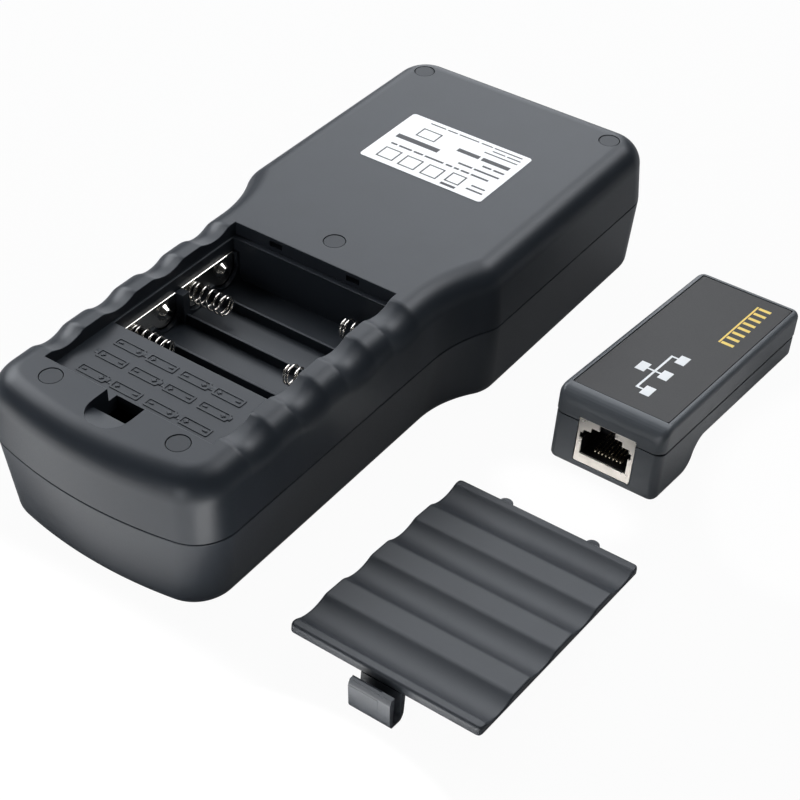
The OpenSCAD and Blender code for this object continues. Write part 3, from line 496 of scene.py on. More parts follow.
def flaredPrism(name, outline, low, rim, high, r, steps=3):
    # a cutter that leaves a rounded edge where it comes out at the rim
    out = 1 if high > low else -1
    loops = [atHeight(outline, low)]
    for wider, drop in quarterRound(r, steps):
        loops.append(atHeight(shiftRight(outline, wider), rim - out * (drop - proud)))
    loops.append(atHeight(shiftRight(outline, r), high))
    return loopPiece(name, loops)


def settle(piece):
    # bakes the modifiers into a plain mesh
    graph = bpy.context.evaluated_depsgraph_get()
    mesh = bpy.data.meshes.new_from_object(piece.evaluated_get(graph))
    piece.modifiers.clear()
    old = piece.data
    piece.data = mesh
    bpy.data.meshes.remove(old)


def combine(piece, other, how):
    step = piece.modifiers.new("combine", "BOOLEAN")
    step.operation = how
    step.solver = "MANIFOLD"
    step.object = other
    settle(piece)
    bpy.data.objects.remove(other)


def cutBy(piece, cutter):
    combine(piece, cutter, "DIFFERENCE")


def fuse(piece, block):
    combine(piece, block, "UNION")


def joinMeshes(piece, *others):
    work = bmesh.new()
    for part in (piece, *others):
        work.from_mesh(part.data)
    work.to_mesh(piece.data)
    work.free()
    for part in others:
        bpy.data.objects.remove(part)
    return piece


def roundEdges(piece, width, angle=creaseAngle, segments=2):
    step = piece.modifiers.new("edges", "BEVEL")
    step.width = width * mm
    step.segments = segments
    step.limit_method = "ANGLE"
    step.angle_limit = math.radians(angle)
    step.use_clamp_overlap = True
    step.miter_outer = "MITER_ARC"
    settle(piece)


def soften(piece, width=0.0, angle=creaseAngle):
    # rounds the hard edges, then shades by angle with the flat faces kept flat
    if width:
        roundEdges(piece, width, angle)
    piece.data.shade_smooth()
    piece.data.set_sharp_from_angle(angle=math.radians(angle))
    step = piece.modifiers.new("normals", "WEIGHTED_NORMAL")
    step.keep_sharp = True
    step.weight = faceWeight
    settle(piece)


def placing(at, tilt, yaw):
    return (Matrix.Translation(Vector(at) * mm) @ Matrix.Rotation(math.radians(yaw), 4, "Z")
            @ Matrix.Rotation(math.radians(tilt), 4, "X"))


def placeMesh(piece, matrix):
    piece.data.transform(matrix)
    piece.data.update()


def paintPiece(piece, finish):
    piece.data.materials.clear()
    piece.data.materials.append(finishes[finish])


def finishPiece(piece, finish, body, slot, *nodes):
    paintPiece(piece, finish)
    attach(piece, body)
    if nodes:
        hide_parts(*nodes)


def finishShell(piece, finish, body, node, place=Matrix.Identity(4), angle=creaseAngle):
    cleanMesh(piece, sameSpot)
    soften(piece, angle=angle)
    placeMesh(piece, place)
    finishPiece(piece, finish, body, "shell_plastic", node)
    print(node + ":", len(piece.data.polygons), "faces")


def boxOf(node):
    return tuple(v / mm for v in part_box(node))


# Geometry Nodes: a tree's start, end and use, and copies of one shape on points
def newTree(name, sockets):
    tree = bpy.data.node_groups.new(name, "GeometryNodeTree")
    keys = {}
    for label, kind in sockets:
        socket = tree.interface.new_socket(label, in_out="INPUT", socket_type="NodeSocket" + kind)
        keys[label] = socket.identifier
    tree.interface.new_socket("Mesh", in_out="OUTPUT", socket_type="NodeSocketGeometry")
    return tree, keys, tree.nodes.new("NodeGroupInput").outputs


def endTree(tree, mesh, finish):
    link = tree.links.new
    real, paint, done = (tree.nodes.new(kind) for kind in (
        "GeometryNodeRealizeInstances", "GeometryNodeSetMaterial", "NodeGroupOutput"))
    link(mesh, real.inputs["Geometry"])
    link(real.outputs["Geometry"], paint.inputs["Geometry"])
    link(finish, paint.inputs["Material"])
    link(paint.outputs["Geometry"], done.inputs["Mesh"])


def runTree(piece, tree, keys, values):
    step = piece.modifiers.new(tree.name, "NODES")
    step.node_group = tree
    for key, value in values.items():
        step[keys[key]] = value
    settle(piece)


def makeCopyTree():
    # every point carries its copy's turn and size
    tree, keys, given = newTree("copiesOnPoints", (("Points", "Geometry"), ("Shape", "Object"),
                                                   ("Finish", "Material"), ("Scale", "Float")))
    add, link = tree.nodes.new, tree.links.new
    shape = add("GeometryNodeObjectInfo")
    link(given["Shape"], shape.inputs["Object"])
    put = add("GeometryNodeInstanceOnPoints")
    link(given["Points"], put.inputs["Points"])
    link(shape.outputs["Geometry"], put.inputs["Instance"])
    perPoint = {}
    for name in ("turn", "size"):
        layer = add("GeometryNodeInputNamedAttribute")
        layer.data_type = "FLOAT_VECTOR"
        layer.inputs["Name"].default_value = name
        perPoint[name] = layer.outputs["Attribute"]
    link(perPoint["turn"], put.inputs["Rotation"])
    grow = add("ShaderNodeVectorMath")
    grow.operation = "SCALE"
    link(perPoint["size"], grow.inputs["Vector"])
    link(given["Scale"], grow.inputs["Scale"])
    link(grow.outputs["Vector"], put.inputs["Scale"])
    endTree(tree, put.outputs["Instances"], given["Finish"])
    return tree, keys


copyTree, copyKeys = makeCopyTree()


def copiesOf(name, shape, finish, places, turns=None, sizes=None):
    mesh = bpy.data.meshes.new(name)
    mesh.from_pydata([tuple(v * mm for v in p) for p in places], [], [])
    for key, values, plain in (("turn", turns, (0, 0, 0)), ("size", sizes, (1, 1, 1))):
        layer = mesh.attributes.new(key, "FLOAT_VECTOR", "POINT")
        for i in range(len(places)):
            layer.data[i].vector = values[i] if values else plain
    piece = addObject(name, mesh)
    runTree(piece, copyTree, copyKeys, {"Shape": shape, "Finish": finishes[finish], "Scale": 1.0})
    bpy.data.objects.remove(shape)
    return piece


print("helpers ready")

# Case: outline, lofted shells and their cuts
backLow, backHigh = boxOf("back_shell")
case = {
    "headHalf": backHigh.x,
    "handleHalf": 34.5,
    "yHead": backHigh.y,
    "yEnd": backLow.y,
    "height": backHigh.z,
    "parting": backLow.z,
    "headCorner": 10,
    "endCorner": 11,
    "endBow": 120,
    "neckTop": 17,
    "neckLength": 22,
    "neckRound": 10,
    "backFillet": 7,
    "frontFillet": 4,
    "backDraft": 0.5,
    "frontDraft": 1.2,
    "handleTaper": 1.6,
    "chamfer": 0.18,
    "chamferPath": ((1, 0), (0.3, 0.3)),     # shares of the chamfer, in and up, before it meets the wall
    "frontEdge": 0.42,
    "frontEdgePath": ((0, 1), (0.13, 0.5), (0.5, 0.13), (1, 0)),   # in and down
    "slit": 0.15,         # open gap at the parting line
    "wall": 2.2,
    "grooves": 4,
    "groovePitch": 17.3,
    "grooveLand": 5.2,
    "grooveEdge": 1.6,
    "grooveDepth": 1.4,
    "grooveRound": 3.0,
    "recessFar": -7.5,
    "recessNear": -74.7,
    "recessHalf": 25.0,
    "rimRound": 0.22,
    "shelf": 36.4,
    "bayHalf": 24.4,
    "bayFar": -9.2,
    "bayNear": -52.8,
    "bayFloor": 24.3,
    "bayRim": 0.14,
    "tubWall": 1.6,
    "cavityTop": 32.8,
    "slotHalf": 5.7,
    "slotFar": -72.1,
    "slotNear": -79.5,
    "scoopY": -79.9,
    "scoopRadius": 5.6,
    "scoopDepth": 2.1,    # at the slot; its floor runs out at the near rim
    "scoopCut": 4.0,
    "ramp": (9.0, 20.0, 8.0, 2.0),   # block under the scoop's floor: half width, foot, reach far and near
    "tabX": 12.0,
    "tabSlotHalf": 2.0,
    "tabSlotDepth": 2.9,
    "tabSlotLap": 0.05,
    "tabSlot": (37.4, 39.0),
    "wells": ((-30.5, 82.5), (30.5, 82.5), (0, 0.9), (-19, -78.9), (19, -78.9)),
    "wellRadius": 2.9,
    "wellDepth": 5.0,
    "wellRim": 0.08,
    "jackGap": 0.2,
    "jackReach": 2.0,
    "cutOver": 5.0,       # cutters stand this far over the back
}
grooveHalf = (case["groovePitch"] - case["grooveLand"]) / 2
grooveTurn = 2 * math.atan(case["grooveDepth"] / grooveHalf)
grooveValley = grooveHalf / math.sin(grooveTurn) - case["grooveRound"]


def grooveMiddle(i):
    return case["recessFar"] - case["grooveEdge"] - grooveHalf - i * case["groovePitch"]


def grooveDrop(y):
    for i in range(case["grooves"]):
        d = abs(y - grooveMiddle(i))
        if d < grooveHalf:
            if d > grooveValley * math.sin(grooveTurn):
                return arcDrop(case["grooveRound"], grooveHalf - d)
            return case["grooveDepth"] - arcDrop(grooveValley, d)
    return 0.0


def groovePlaces(i, crest=6, valley=16):
    up = [grooveHalf - case["grooveRound"] * math.sin(grooveTurn * k / crest) for k in range(crest + 1)]
    low = [grooveValley * math.sin(grooveTurn * (1 - 2 * k / valley)) for k in range(1, valley)]
    return [grooveMiddle(i) + d for d in up + low + [-u for u in reversed(up)]]


def allGroovePlaces():
    return [y for i in range(case["grooves"]) for y in groovePlaces(i)]


def halfOutline(draft, taper):
    # clockwise from the head's middle, down the right side to the near end's middle
    c = case
    corner, neck, end = c["headCorner"], c["neckRound"], c["endCorner"]
    head = c["headHalf"] - draft
    grip = c["handleHalf"] - draft - taper
    turn = math.degrees(2 * math.atan((head - grip) / c["neckLength"]))
    both = c["neckLength"] / math.sin(math.radians(turn))
    bowY = c["yEnd"] + draft + c["endBow"]
    cornerX = grip - end
    cornerY = bowY - math.sqrt((c["endBow"] - end) ** 2 - cornerX ** 2)
    meet = math.degrees(math.atan2(cornerY - bowY, cornerX))
    points = arcPoints(head - corner, c["yHead"] - draft - corner, corner, 90, 0, 16)
    points += arcPoints(head - neck, c["neckTop"], neck, 0, -turn, 10)
    neckLow = c["neckTop"] - c["neckLength"]
    points += arcPoints(grip + both - neck, neckLow, both - neck, 180 - turn, 180, 16)
    points += [(grip, y) for y in allGroovePlaces()]
    points += arcPoints(cornerX, cornerY, end, 0, meet, 16)
    bow = (-90 - meet) / 10.5      # ten steps and a half, so that no point lies on the middle
    points += arcPoints(0, bowY, c["endBow"], meet + bow, meet + 10 * bow, 9)
    kept = [points[0]]
    for p in points[1:]:
        if math.dist(p, kept[-1]) > sameSpot:
            kept.append(p)
    return kept


def closedOutline(draft, taper):
    return bothSides(halfOutline(draft, taper))


def recessCutter():
    # follows the grooves along y, with its rim rounded all round
    c, turns = case, quarterTurn(3)
    r, half, far, near = c["rimRound"], c["recessHalf"], c["recessFar"], c["recessNear"]
    stations = [(far + roundStep(r, t)[0], t) for t in reversed(turns)] + [(far, None)]
    stations += [(y, None) for y in allGroovePlaces() if near < y < far]
    stations += [(near, None)] + [(near - roundStep(r, t)[0], t) for t in turns]
    loops = []
    for y, end in stations:
        top = c["height"] - grooveDrop(y) + proud
        rim = [roundStep(r, max(t, end or 0.0)) for t in turns]
        floor = c["shelf"] if end is None else top - rim[0][1]
        side = [(half + rim[0][0], floor)] + [(half + wider, top - drop) for wider, drop in rim]
        side.append((half + r, c["height"] + c["cutOver"]))
        loops.append(acrossY(bothSides(side), y))
    return loopPiece("recess", loops)


def scoopCutter():
    c = case
    disc = circle(0, c["scoopY"], c["scoopRadius"])
    top = c["height"]
    scoop = flaredPrism("scoop", disc, top - c["scoopCut"], top, top + c["cutOver"], c["rimRound"])
    slope = c["scoopDepth"] / (c["scoopRadius"] + c["slotNear"] - c["scoopY"])
    half, foot, past, before = c["ramp"]
    far, near = c["slotNear"] + past, c["scoopY"] - c["scoopRadius"] - before
    ramp = [(y, top - c["scoopDepth"] + (c["slotNear"] - y) * slope) for y in (far, near)]
    cutBy(scoop, alongX("ramp", [(far, foot), *ramp, (near, foot)], -half, half))
    return scoop


def cutJackWindows(piece):
    gap = case["jackGap"]
    for node in ("main_jack_shield", "loop_jack_shield"):
        low, high = boxOf(node)
        window = rectangle(low.x - gap, low.y, high.x + gap, high.y + case["jackReach"])
        cutBy(piece, prismPiece("jackWindow", window, low.z - gap, high.z + gap))


def makeBackShell():
    c = case
    foot, crown = closedOutline(0, 0), closedOutline(c["backDraft"], 0)
    base, top = c["parting"] + c["slit"] / 2, c["height"] + c["cutOver"]
    edge, wall = c["chamfer"], c["tubWall"]
    rings = [atHeight(shiftRight(foot, edge * x), base + edge * z) for x, z in c["chamferPath"]]
    rings.append(atHeight(foot, base + edge))
    for inset, drop in quarterRound(c["backFillet"], 16):
        rings.append([(x, y, c["height"] - grooveDrop(y) - drop) for x, y in shiftRight(crown, inset)])
    shell = loftPiece("caseBack", rings)
    inner = shiftRight(foot, c["wall"] + c["backDraft"])
    cutBy(shell, prismPiece("hollow", inner, base - overlap, c["cavityTop"]))
    half, near, far = c["bayHalf"], c["bayNear"], c["bayFar"]
    tub = rectangle(-half - wall, near - wall, half + wall, far + wall)
    fuse(shell, prismPiece("tub", tub, c["bayFloor"] - wall, c["cavityTop"] + overlap))
    cutBy(shell, recessCutter())
    room = rectangle(-half, near, half, far)
    cutBy(shell, flaredPrism("bay", room, c["bayFloor"], c["shelf"], top, c["bayRim"]))
    slot = rectangle(-c["slotHalf"], c["slotNear"], c["slotHalf"], c["slotFar"])
    cutBy(shell, flaredPrism("latchSlot", slot, c["cavityTop"] - overlap, c["height"], top, c["bayRim"]))
    cutBy(shell, scoopCutter())
    near, far = c["recessFar"] - c["tabSlotLap"], c["recessFar"] + c["tabSlotDepth"]
    for x in (-c["tabX"], c["tabX"]):
        slot = rectangle(x - c["tabSlotHalf"], near, x + c["tabSlotHalf"], far)
        cutBy(shell, prismPiece("tabSlot", slot, *c["tabSlot"]))
    wellFloor = c["height"] - c["wellDepth"]
    for x, y in c["wells"]:
        well = circle(x, y, c["wellRadius"])
        cutBy(shell, flaredPrism("well", well, wellFloor, c["height"], top, c["wellRim"], 2))
    cutJackWindows(shell)
    return shell


# Battery bay: ribs between the cells, side walls open round each cell
bay = {
    "lanes": (-14.65, -25.55, -36.45, -47.35),
    "sink": 0.3,          # ribs and walls start this far in the floor
    "sideSink": 0.1,
    "ribHeight": 2.6,
    "ribFoot": 0.6,
    "ribTop": 0.4,
    "ribRound": 0.25,
    "ribLap": 0.2,
    "plate": 0.4,
    "surround": 1.2,
    "surroundTop": 32.75,
    "bridgeTop": 28.0,    # lower where one plate spans two cells
    "cutTop": 40.0,
    "opening": 4.6,
    "axis": 29.55,        # height of the cells' axes
    "postReach": 1.4,
    "postHalf": 1.2,
    "postTop": 33.15,
    "edge": 0.12,
    "surrounds": ((-1, (1,), (0, 2)), (1, (0, 2), (1,))),   # side, gaps with a post, gaps with a bridge
}


def laneGap(i):
    return (bay["lanes"][i] + bay["lanes"][i + 1]) / 2


def makeSurround(side, posts, bridges):
    b, c = bay, case
    inner = c["bayHalf"] - b["plate"]
    left, right = sorted((side * inner, side * (inner - b["surround"])))
    floor = c["bayFloor"] - b["sink"]
    wall = rectangle(left, c["bayNear"] - b["sideSink"], right, c["bayFar"] + b["sideSink"])
    piece = prismPiece("surround", wall, floor, b["surroundTop"])
    for y in b["lanes"]:
        r, top = b["opening"], b["cutTop"]
        opening = [(y + r, top), (y - r, top)] + arcPoints(y, b["axis"], r, 180, 360, 24)
        cutBy(piece, alongX("opening", opening, left - overlap, right + overlap))
    for i in bridges:
        span = rectangle(left - overlap, b["lanes"][i + 1], right + overlap, b["lanes"][i])
        cutBy(piece, prismPiece("bridge", span, b["bridgeTop"], b["cutTop"]))
    cleanMesh(piece)
    roundEdges(piece, b["edge"])
    left, right = sorted((side * inner, side * (inner - b["surround"] - b["postReach"])))
    for y in (laneGap(i) for i in posts):
        foot = rectangle(left, y - b["postHalf"], right, y + b["postHalf"])
        post = prismPiece("post", foot, floor, b["postTop"])
        roundEdges(post, b["edge"])
        fuse(piece, post)
    return piece


def addBayDetail(shell):
    b, c = bay, case
    reach = c["bayHalf"] - b["plate"] - b["surround"] + b["ribLap"]
    floor, top = c["bayFloor"] - b["sink"], c["bayFloor"] + b["ribHeight"]
    for i in range(len(b["lanes"]) - 1):
        y, r = laneGap(i), b["ribRound"]
        rib = [(y - b["ribFoot"], floor), (y + b["ribFoot"], floor)]
        rib += arcPoints(y + b["ribTop"] - r, top - r, r, 0, 90, 4)
        rib += arcPoints(y - b["ribTop"] + r, top - r, r, 90, 180, 4)
        fuse(shell, alongX("rib", rib, -reach, reach))
    for use in b["surrounds"]:
        fuse(shell, makeSurround(*use))


caseBack = makeBackShell()
addBayDetail(caseBack)
finishShell(caseBack, "shell", "tester", "back_shell")

# Front half: hollow, tongue into the back half, seats of the window and the keypad
front = {
    "moreWall": 0.4,
    "floor": 2.4,
    "tongue": (0.15, 1.05),   # its outer and inner face, in from the back half's wall
    "tongueFoot": 3.0,
    "tongueTop": 1.4,
    "paneGap": 0.4,
    "paneCorner": 2.2,
    "paneEdge": 0.25,
    "viewInset": 6.0,
    "viewCorner": 2.0,
    "viewTop": 4.0,
}
keypad = {
    "keys": ("power_key", "up_key", "down_key", "test_key"),
    "y": -29.0,
    "width": 41.0,
    "length": 28.6,
    "sink": 1.4,
    "corner": 3.0,
    "edge": 0.3,
    "flange": 1.3,
    "gap": 0.3,
    "holeTop": 5.0,
    "holeEdge": 0.15,
    "holeEnd": 0.001,         # straight left between a hole's round ends
}


def makeFrontShell():
    c, f, k = case, front, keypad
    foot, crown = closedOutline(c["frontDraft"], c["handleTaper"]), closedOutline(0, 0)
    rim, edge = c["parting"] - c["slit"] / 2, c["frontEdge"]
    rings = [atHeight(shiftRight(foot, inset), z) for z, inset in quarterRound(c["frontFillet"], 12)]
    rings += [atHeight(shiftRight(crown, edge * x), rim - edge * z) for x, z in c["frontEdgePath"]]
    shell = loftPiece("caseFront", rings)
    wall = c["wall"] + f["moreWall"]
    room = [atHeight(shiftRight(foot, wall), f["floor"]), atHeight(shiftRight(crown, wall), rim + overlap)]
    cutBy(shell, loftPiece("hollow", room))
    outer, inner = (shiftRight(crown, c["wall"] + c["backDraft"] + inset) for inset in f["tongue"])
    tongue = prismPiece("tongue", outer, rim - f["tongueFoot"], rim + f["tongueTop"])
    cutBy(tongue, prismPiece("tongueHole", inner, rim - f["tongueFoot"] - overlap, rim + f["tongueFoot"]))
    fuse(shell, tongue)
    low, high = boxOf("display_window")
    y = (low.y + high.y) / 2
    width, length = high.x - low.x, high.y - low.y
    seat = roundedRectangle(width + f["paneGap"], length + f["paneGap"], f["paneCorner"], y=y)
    cutBy(shell, flaredPrism("paneSeat", seat, high.z, 0, -overlap, f["paneEdge"]))
    view = roundedRectangle(width - f["viewInset"], length - f["viewInset"], f["viewCorner"], y=y)
    cutBy(shell, prismPiece("view", view, -overlap, f["viewTop"]))
    seat = roundedRectangle(k["width"], k["length"], k["corner"], y=k["y"])
    cutBy(shell, flaredPrism("keypadSeat", seat, k["sink"], 0, -overlap, k["edge"]))
    lip = k["flange"] - k["gap"]
    for node in k["keys"]:
        low, high = boxOf(node)
        w, l = high.x - low.x - 2 * lip, high.y - low.y - 2 * lip
        hole = roundedRectangle(w, l, l / 2 - k["holeEnd"], 16, (low.x + high.x) / 2, (low.y + high.y) / 2)
        cutBy(shell, flaredPrism("keyHole", hole, k["holeTop"], k["sink"], -overlap, k["holeEdge"]))
    cutJackWindows(shell)
    return shell


finishShell(makeFrontShell(), "shell", "tester", "front_shell")

# Plugs over the case screws, on their five places
plug = {"radius": 2.75, "top": 39.9, "length": 4.0, "edge": 0.18}


def makePlugs():
    p = plug
    loops = [atHeight(circle(0, 0, p["radius"]), -p["length"])]
    for inset, drop in quarterRound(p["edge"], 3):
        loops.append(atHeight(circle(0, 0, p["radius"] - inset), -drop))
    places = [(x, y, p["top"]) for x, y in case["wells"]]
    piece = copiesOf("screwPlugs", loopPiece("plugShape", loops), "plug", places)
    soften(piece)
    finishPiece(piece, "plug", "tester", "plug_plastic", "screw_plugs")


makePlugs()
print("plugs set:", len(case["wells"]))

# Battery contacts: plates with lobes, a rolled top edge and pressed buttons
contacts = {
    "thickness": 0.4,
    "lobe": 4.2,
    "stripLow": 27.55,
    "top": 33.15,
    "buttonRadius": 2.1,
    "buttonTip": 1.35,
    "buttonHeight": 1.6,
    "buttonRound": 0.4,   # from the cone into the tip
    "buttonFoot": 0.35,   # soft turn from the plate into the cone
    "footTurn": (0.3, 0.25),   # shares of it, out and up
    "buttonSink": 0.1,
    "buttonLift": 0.02,   # rise of the foot's rim, and of the tip's middle
    "buttonSides": 48,
    "hem": 0.4,           # rolled top edge
    "tailHalf": 1.0,
    "tailLow": 20.6,
    "edge": 0.07,
    "plates": {
        # node: (side, lanes, lane of the button, tail)
        "first_left_contact": (-1, (0, 1), 0, False),
        "second_left_contact": (-1, (2, 3), 2, False),
        "right_bridge_contact": (1, (1, 2), 1, False),
        "negative_terminal": (1, (0,), None, True),
        "positive_terminal": (1, (3,), 3, True),
    },
}


def makeButton(face, side, y):
    # pressed cone with a rounded tip, standing on the plate's face
    k = contacts
    wide, tip, r, lift = k["buttonRadius"], k["buttonTip"], k["buttonRound"], k["buttonLift"]
    foot = wide + k["buttonFoot"]
    out, up = (k["buttonFoot"] * share for share in k["footTurn"])
    lean = math.degrees(math.atan2(wide - tip, k["buttonHeight"]))
    profile = [(foot, -k["buttonSink"]), (foot, lift), (wide + out, up)]
    profile += arcPoints(tip - r, k["buttonHeight"] - r, r, lean, 90, 6)
    profile.append((lift, k["buttonHeight"] + lift))
    turns = [math.tau * j / k["buttonSides"] for j in range(k["buttonSides"])]
    return loopPiece("button", [[(face - side * h, y + d * math.cos(t), bay["axis"] + d * math.sin(t))
                                 for t in turns] for d, h in profile])


def makePlate(name, side, lanes, buttonLane, tail):
    k, axis = contacts, bay["axis"]
    high, low = bay["lanes"][lanes[0]], bay["lanes"][lanes[-1]]
    r = k["lobe"]
    outline = [(low - r, k["top"])]
    if tail:
        half = math.degrees(math.acos(k["tailHalf"] / r))
        outline += arcPoints(low, axis, r, 180, 180 + half, 12)
        outline += [(low - k["tailHalf"], k["tailLow"]), (low + k["tailHalf"], k["tailLow"])]
        outline += arcPoints(high, axis, r, 360 - half, 360, 12)
    else:
        drop = math.degrees(math.asin((axis - k["stripLow"]) / r))
        outline += arcPoints(low, axis, r, 180, 360 - drop, 24)
        outline += arcPoints(high, axis, r, 180 + drop, 360, 24)
    outline += [(high + r, k["top"])]
    back = side * case["bayHalf"]
    face = back - side * k["thickness"]
    piece = alongX(name, outline, *sorted((back, face)))
    roundEdges(piece, k["edge"])
    roll = circle(back - side * k["hem"], k["top"] - k["hem"], k["hem"], 24)
    parts = [alongY("hem", roll, low - r, high + r)]
    if buttonLane is not None:
        parts.append(makeButton(face, side, bay["lanes"][buttonLane]))
    joinMeshes(piece, *parts)
    soften(piece)
    return piece


for node, use in contacts["plates"].items():
    finishPiece(makePlate(node + "Plate", *use), "nickel", "tester", "contact_nickel", node)
print("contact plates:", len(contacts["plates"]))

# Springs: a wound wire along x, with a flat turn at the plate, open turns and a closed tip
spring = {
    "radius": 2.5,
    "wire": 0.55,
    "basePitch": 0.68,
    "baseTurns": 1.0,
    "pitch": 2.2,
    "tipPitch": 0.95,
    "tipTurns": 1.25,
    "start": 0.34,        # middle of the first turn's wire from the plate
    "points": 260,
    "sides": 12,
    "crease": 60,
    "places": {
        # node: (side, lane, open turns); the right ones are seen pressed shorter
        "first_spring": (1, 0, 3.0),
        "second_spring": (-1, 1, 4.0),
        "third_spring": (1, 2, 3.0),
        "fourth_spring": (-1, 3, 4.0),
    },
}


def makeSpringTree():
    names = ("Radius", "Wire", "Start", "Base Pitch", "Base Turns", "Pitch", "Open Turns", "Tip Pitch",
             "Tip Turns")
    sockets = [(name, "Float") for name in names] + [("Finish", "Material")]
    tree, keys, size = newTree("woundSpring", sockets)
    add, link = tree.nodes.new, tree.links.new

    def reckon(operation, *values):
        node = add("ShaderNodeMath")
        node.operation = operation
        for socket, value in zip(node.inputs, values):
            if isinstance(value, (int, float)):
                socket.default_value = value
            else:
                link(value, socket)
        return node.outputs[0]

    def within(value, low, span):
        return reckon("MINIMUM", reckon("MAXIMUM", reckon("SUBTRACT", value, low), 0.0), span)

    line = add("GeometryNodeCurvePrimitiveLine")
    dense = add("GeometryNodeResampleCurve")
    dense.inputs["Count"].default_value = spring["points"]
    link(line.outputs["Curve"], dense.inputs["Curve"])
    along = add("GeometryNodeSplineParameter")
    openEnd = reckon("ADD", size["Base Turns"], size["Open Turns"])
    turns = reckon("MULTIPLY", along.outputs["Factor"], reckon("ADD", openEnd, size["Tip Turns"]))
    reach = size["Start"]
    for first, span, pitch in ((0.0, "Base Turns", "Base Pitch"),
                               (size["Base Turns"], "Open Turns", "Pitch"),
                               (openEnd, "Tip Turns", "Tip Pitch")):
        reach = reckon("ADD", reach, reckon("MULTIPLY", within(turns, first, size[span]), size[pitch]))
    angle = reckon("MULTIPLY", turns, math.tau)
    spot = add("ShaderNodeCombineXYZ")
    link(reach, spot.inputs["X"])
    for axis, wave in (("Y", "COSINE"), ("Z", "SINE")):
        link(reckon("MULTIPLY", reckon(wave, angle), size["Radius"]), spot.inputs[axis])
    wind = add("GeometryNodeSetPosition")
    link(dense.outputs["Curve"], wind.inputs["Geometry"])
    link(spot.outputs["Vector"], wind.inputs["Position"])
    ring = add("GeometryNodeCurvePrimitiveCircle")
    ring.inputs["Resolution"].default_value = spring["sides"]
    link(reckon("MULTIPLY", size["Wire"], 0.5), ring.inputs["Radius"])
    skin = add("GeometryNodeCurveToMesh")
    skin.inputs["Fill Caps"].default_value = True
    link(wind.outputs["Geometry"], skin.inputs["Curve"])
    link(ring.outputs["Curve"], skin.inputs["Profile Curve"])
    endTree(tree, skin.outputs["Mesh"], size["Finish"])
    return tree, keys


def makeSpring(node, side, lane, openTurns):
    s = spring
    lengths = {"Radius": "radius", "Wire": "wire", "Start": "start", "Base Pitch": "basePitch",
               "Pitch": "pitch", "Tip Pitch": "tipPitch"}
    values = {label: s[key] * mm for label, key in lengths.items()}
    values |= {"Base Turns": s["baseTurns"], "Open Turns": openTurns, "Tip Turns": s["tipTurns"],
               "Finish": finishes["springWire"]}
    wound = addObject(node + "Wound", bpy.data.meshes.new(node + "Wound"))
    runTree(wound, springTree, springKeys, values)
    face = side * (case["bayHalf"] - contacts["thickness"])
    placeMesh(wound, placing((face, bay["lanes"][lane], bay["axis"]), 0, 0 if side < 0 else 180))
    soften(wound, angle=s["crease"])
    finishPiece(wound, "springWire", "tester", "contact_nickel", node)


springTree, springKeys = makeSpringTree()
for node, use in spring["places"].items():
    makeSpring(node, *use)
print("springs wound:", len(spring["places"]))

# Battery cover: grooved plate, rim below it, two tabs
cover = {
    "at": (77.7, -51.6, 3.4477),
    "tilt": -6.1463,
    "yaw": 0.5,
    "half": 24.8,
    "length": 66.8,
    "top": 3.4,
    "under": 1.0,
    "sideRound": 0.55,
    "endRound": 0.7,
    "corner": 1.2,
    "margin": 0.1,            # between the last groove place and the end's rounding
    "underEdge": (0.35, 0.1),
    "rimInset": 1.2,
    "rimWall": 1.5,
    "rimCorner": 1.0,
    "rimHoleCorner": 0.8,
    "rimLap": 0.3,
    "rimEdge": 0.2,
    "tabX": 12.0,
    "tabRadius": 1.8,
    "tabReach": 2.6,
    "tabThick": 1.2,
    "tabEdge": 0.35,
    "crease": 40,             # for the plate and its latch
}
coverPlace = placing(cover["at"], cover["tilt"], cover["yaw"])
coverMiddle = (case["recessFar"] + case["recessNear"]) / 2


def coverTop(y):
    return cover["top"] - grooveDrop(y + coverMiddle)


def makeCover():
    k = cover
    half, end, corner, r, e = k["half"], k["length"] / 2, k["corner"], k["endRound"], k["sideRound"]
    last = end - r - corner - k["margin"]
    places = [y for y in sorted(y - coverMiddle for y in allGroovePlaces()) if abs(y) < last]
    drops = [drop for size in (corner, e) for inset, drop in quarterRound(size, 5)]
    stations = sorted({round(half - drop, 5) for drop in drops})
    broad, fine = k["underEdge"]
    loops = []
    for x in [-s for s in reversed(stations)] + stations:
        far = end - arcDrop(corner, max(abs(x) - half + corner, 0))
        thin = arcDrop(e, max(abs(x) - half + e, 0))
        low = k["under"] + thin
        loop = []
        for side in (-1, 1):
            edge = [(far - broad, low), (far - fine, low + fine), (far, low + broad)]
            for inset, drop in quarterRound(r, 5):
                y = far - inset
                edge.append((y, coverTop(side * y) - thin - drop))
            edge = [(side * y, z) for y, z in edge]
            if side < 0:
                loop += edge + [(y, coverTop(y) - thin) for y in places]
            else:
                loop += reversed(edge)
        loops.append(acrossX(loop, x))
    piece = loopPiece("coverPlate", loops)
    w, l, wall = 2 * (half - k["rimInset"]), 2 * (end - k["rimInset"]), 2 * k["rimWall"]
    rim = prismPiece("rim", roundedRectangle(w, l, k["rimCorner"]), 0, k["under"] + k["rimLap"])
    hole = roundedRectangle(w - wall, l - wall, k["rimHoleCorner"])
    cutBy(rim, prismPiece("rimHole", hole, -overlap, k["under"] + overlap))
    roundEdges(rim, k["rimEdge"])
    fuse(piece, rim)
    for x in (-k["tabX"], k["tabX"]):
        disc = circle(x, end + k["tabReach"] - k["tabRadius"], k["tabRadius"], 40)
        tab = prismPiece("tab", disc, k["under"], k["under"] + k["tabThick"])
        roundEdges(tab, k["tabEdge"], segments=3)
        fuse(piece, tab)
    return piece


finishShell(makeCover(), "cover", "cover", "battery_cover", coverPlace, cover["crease"])

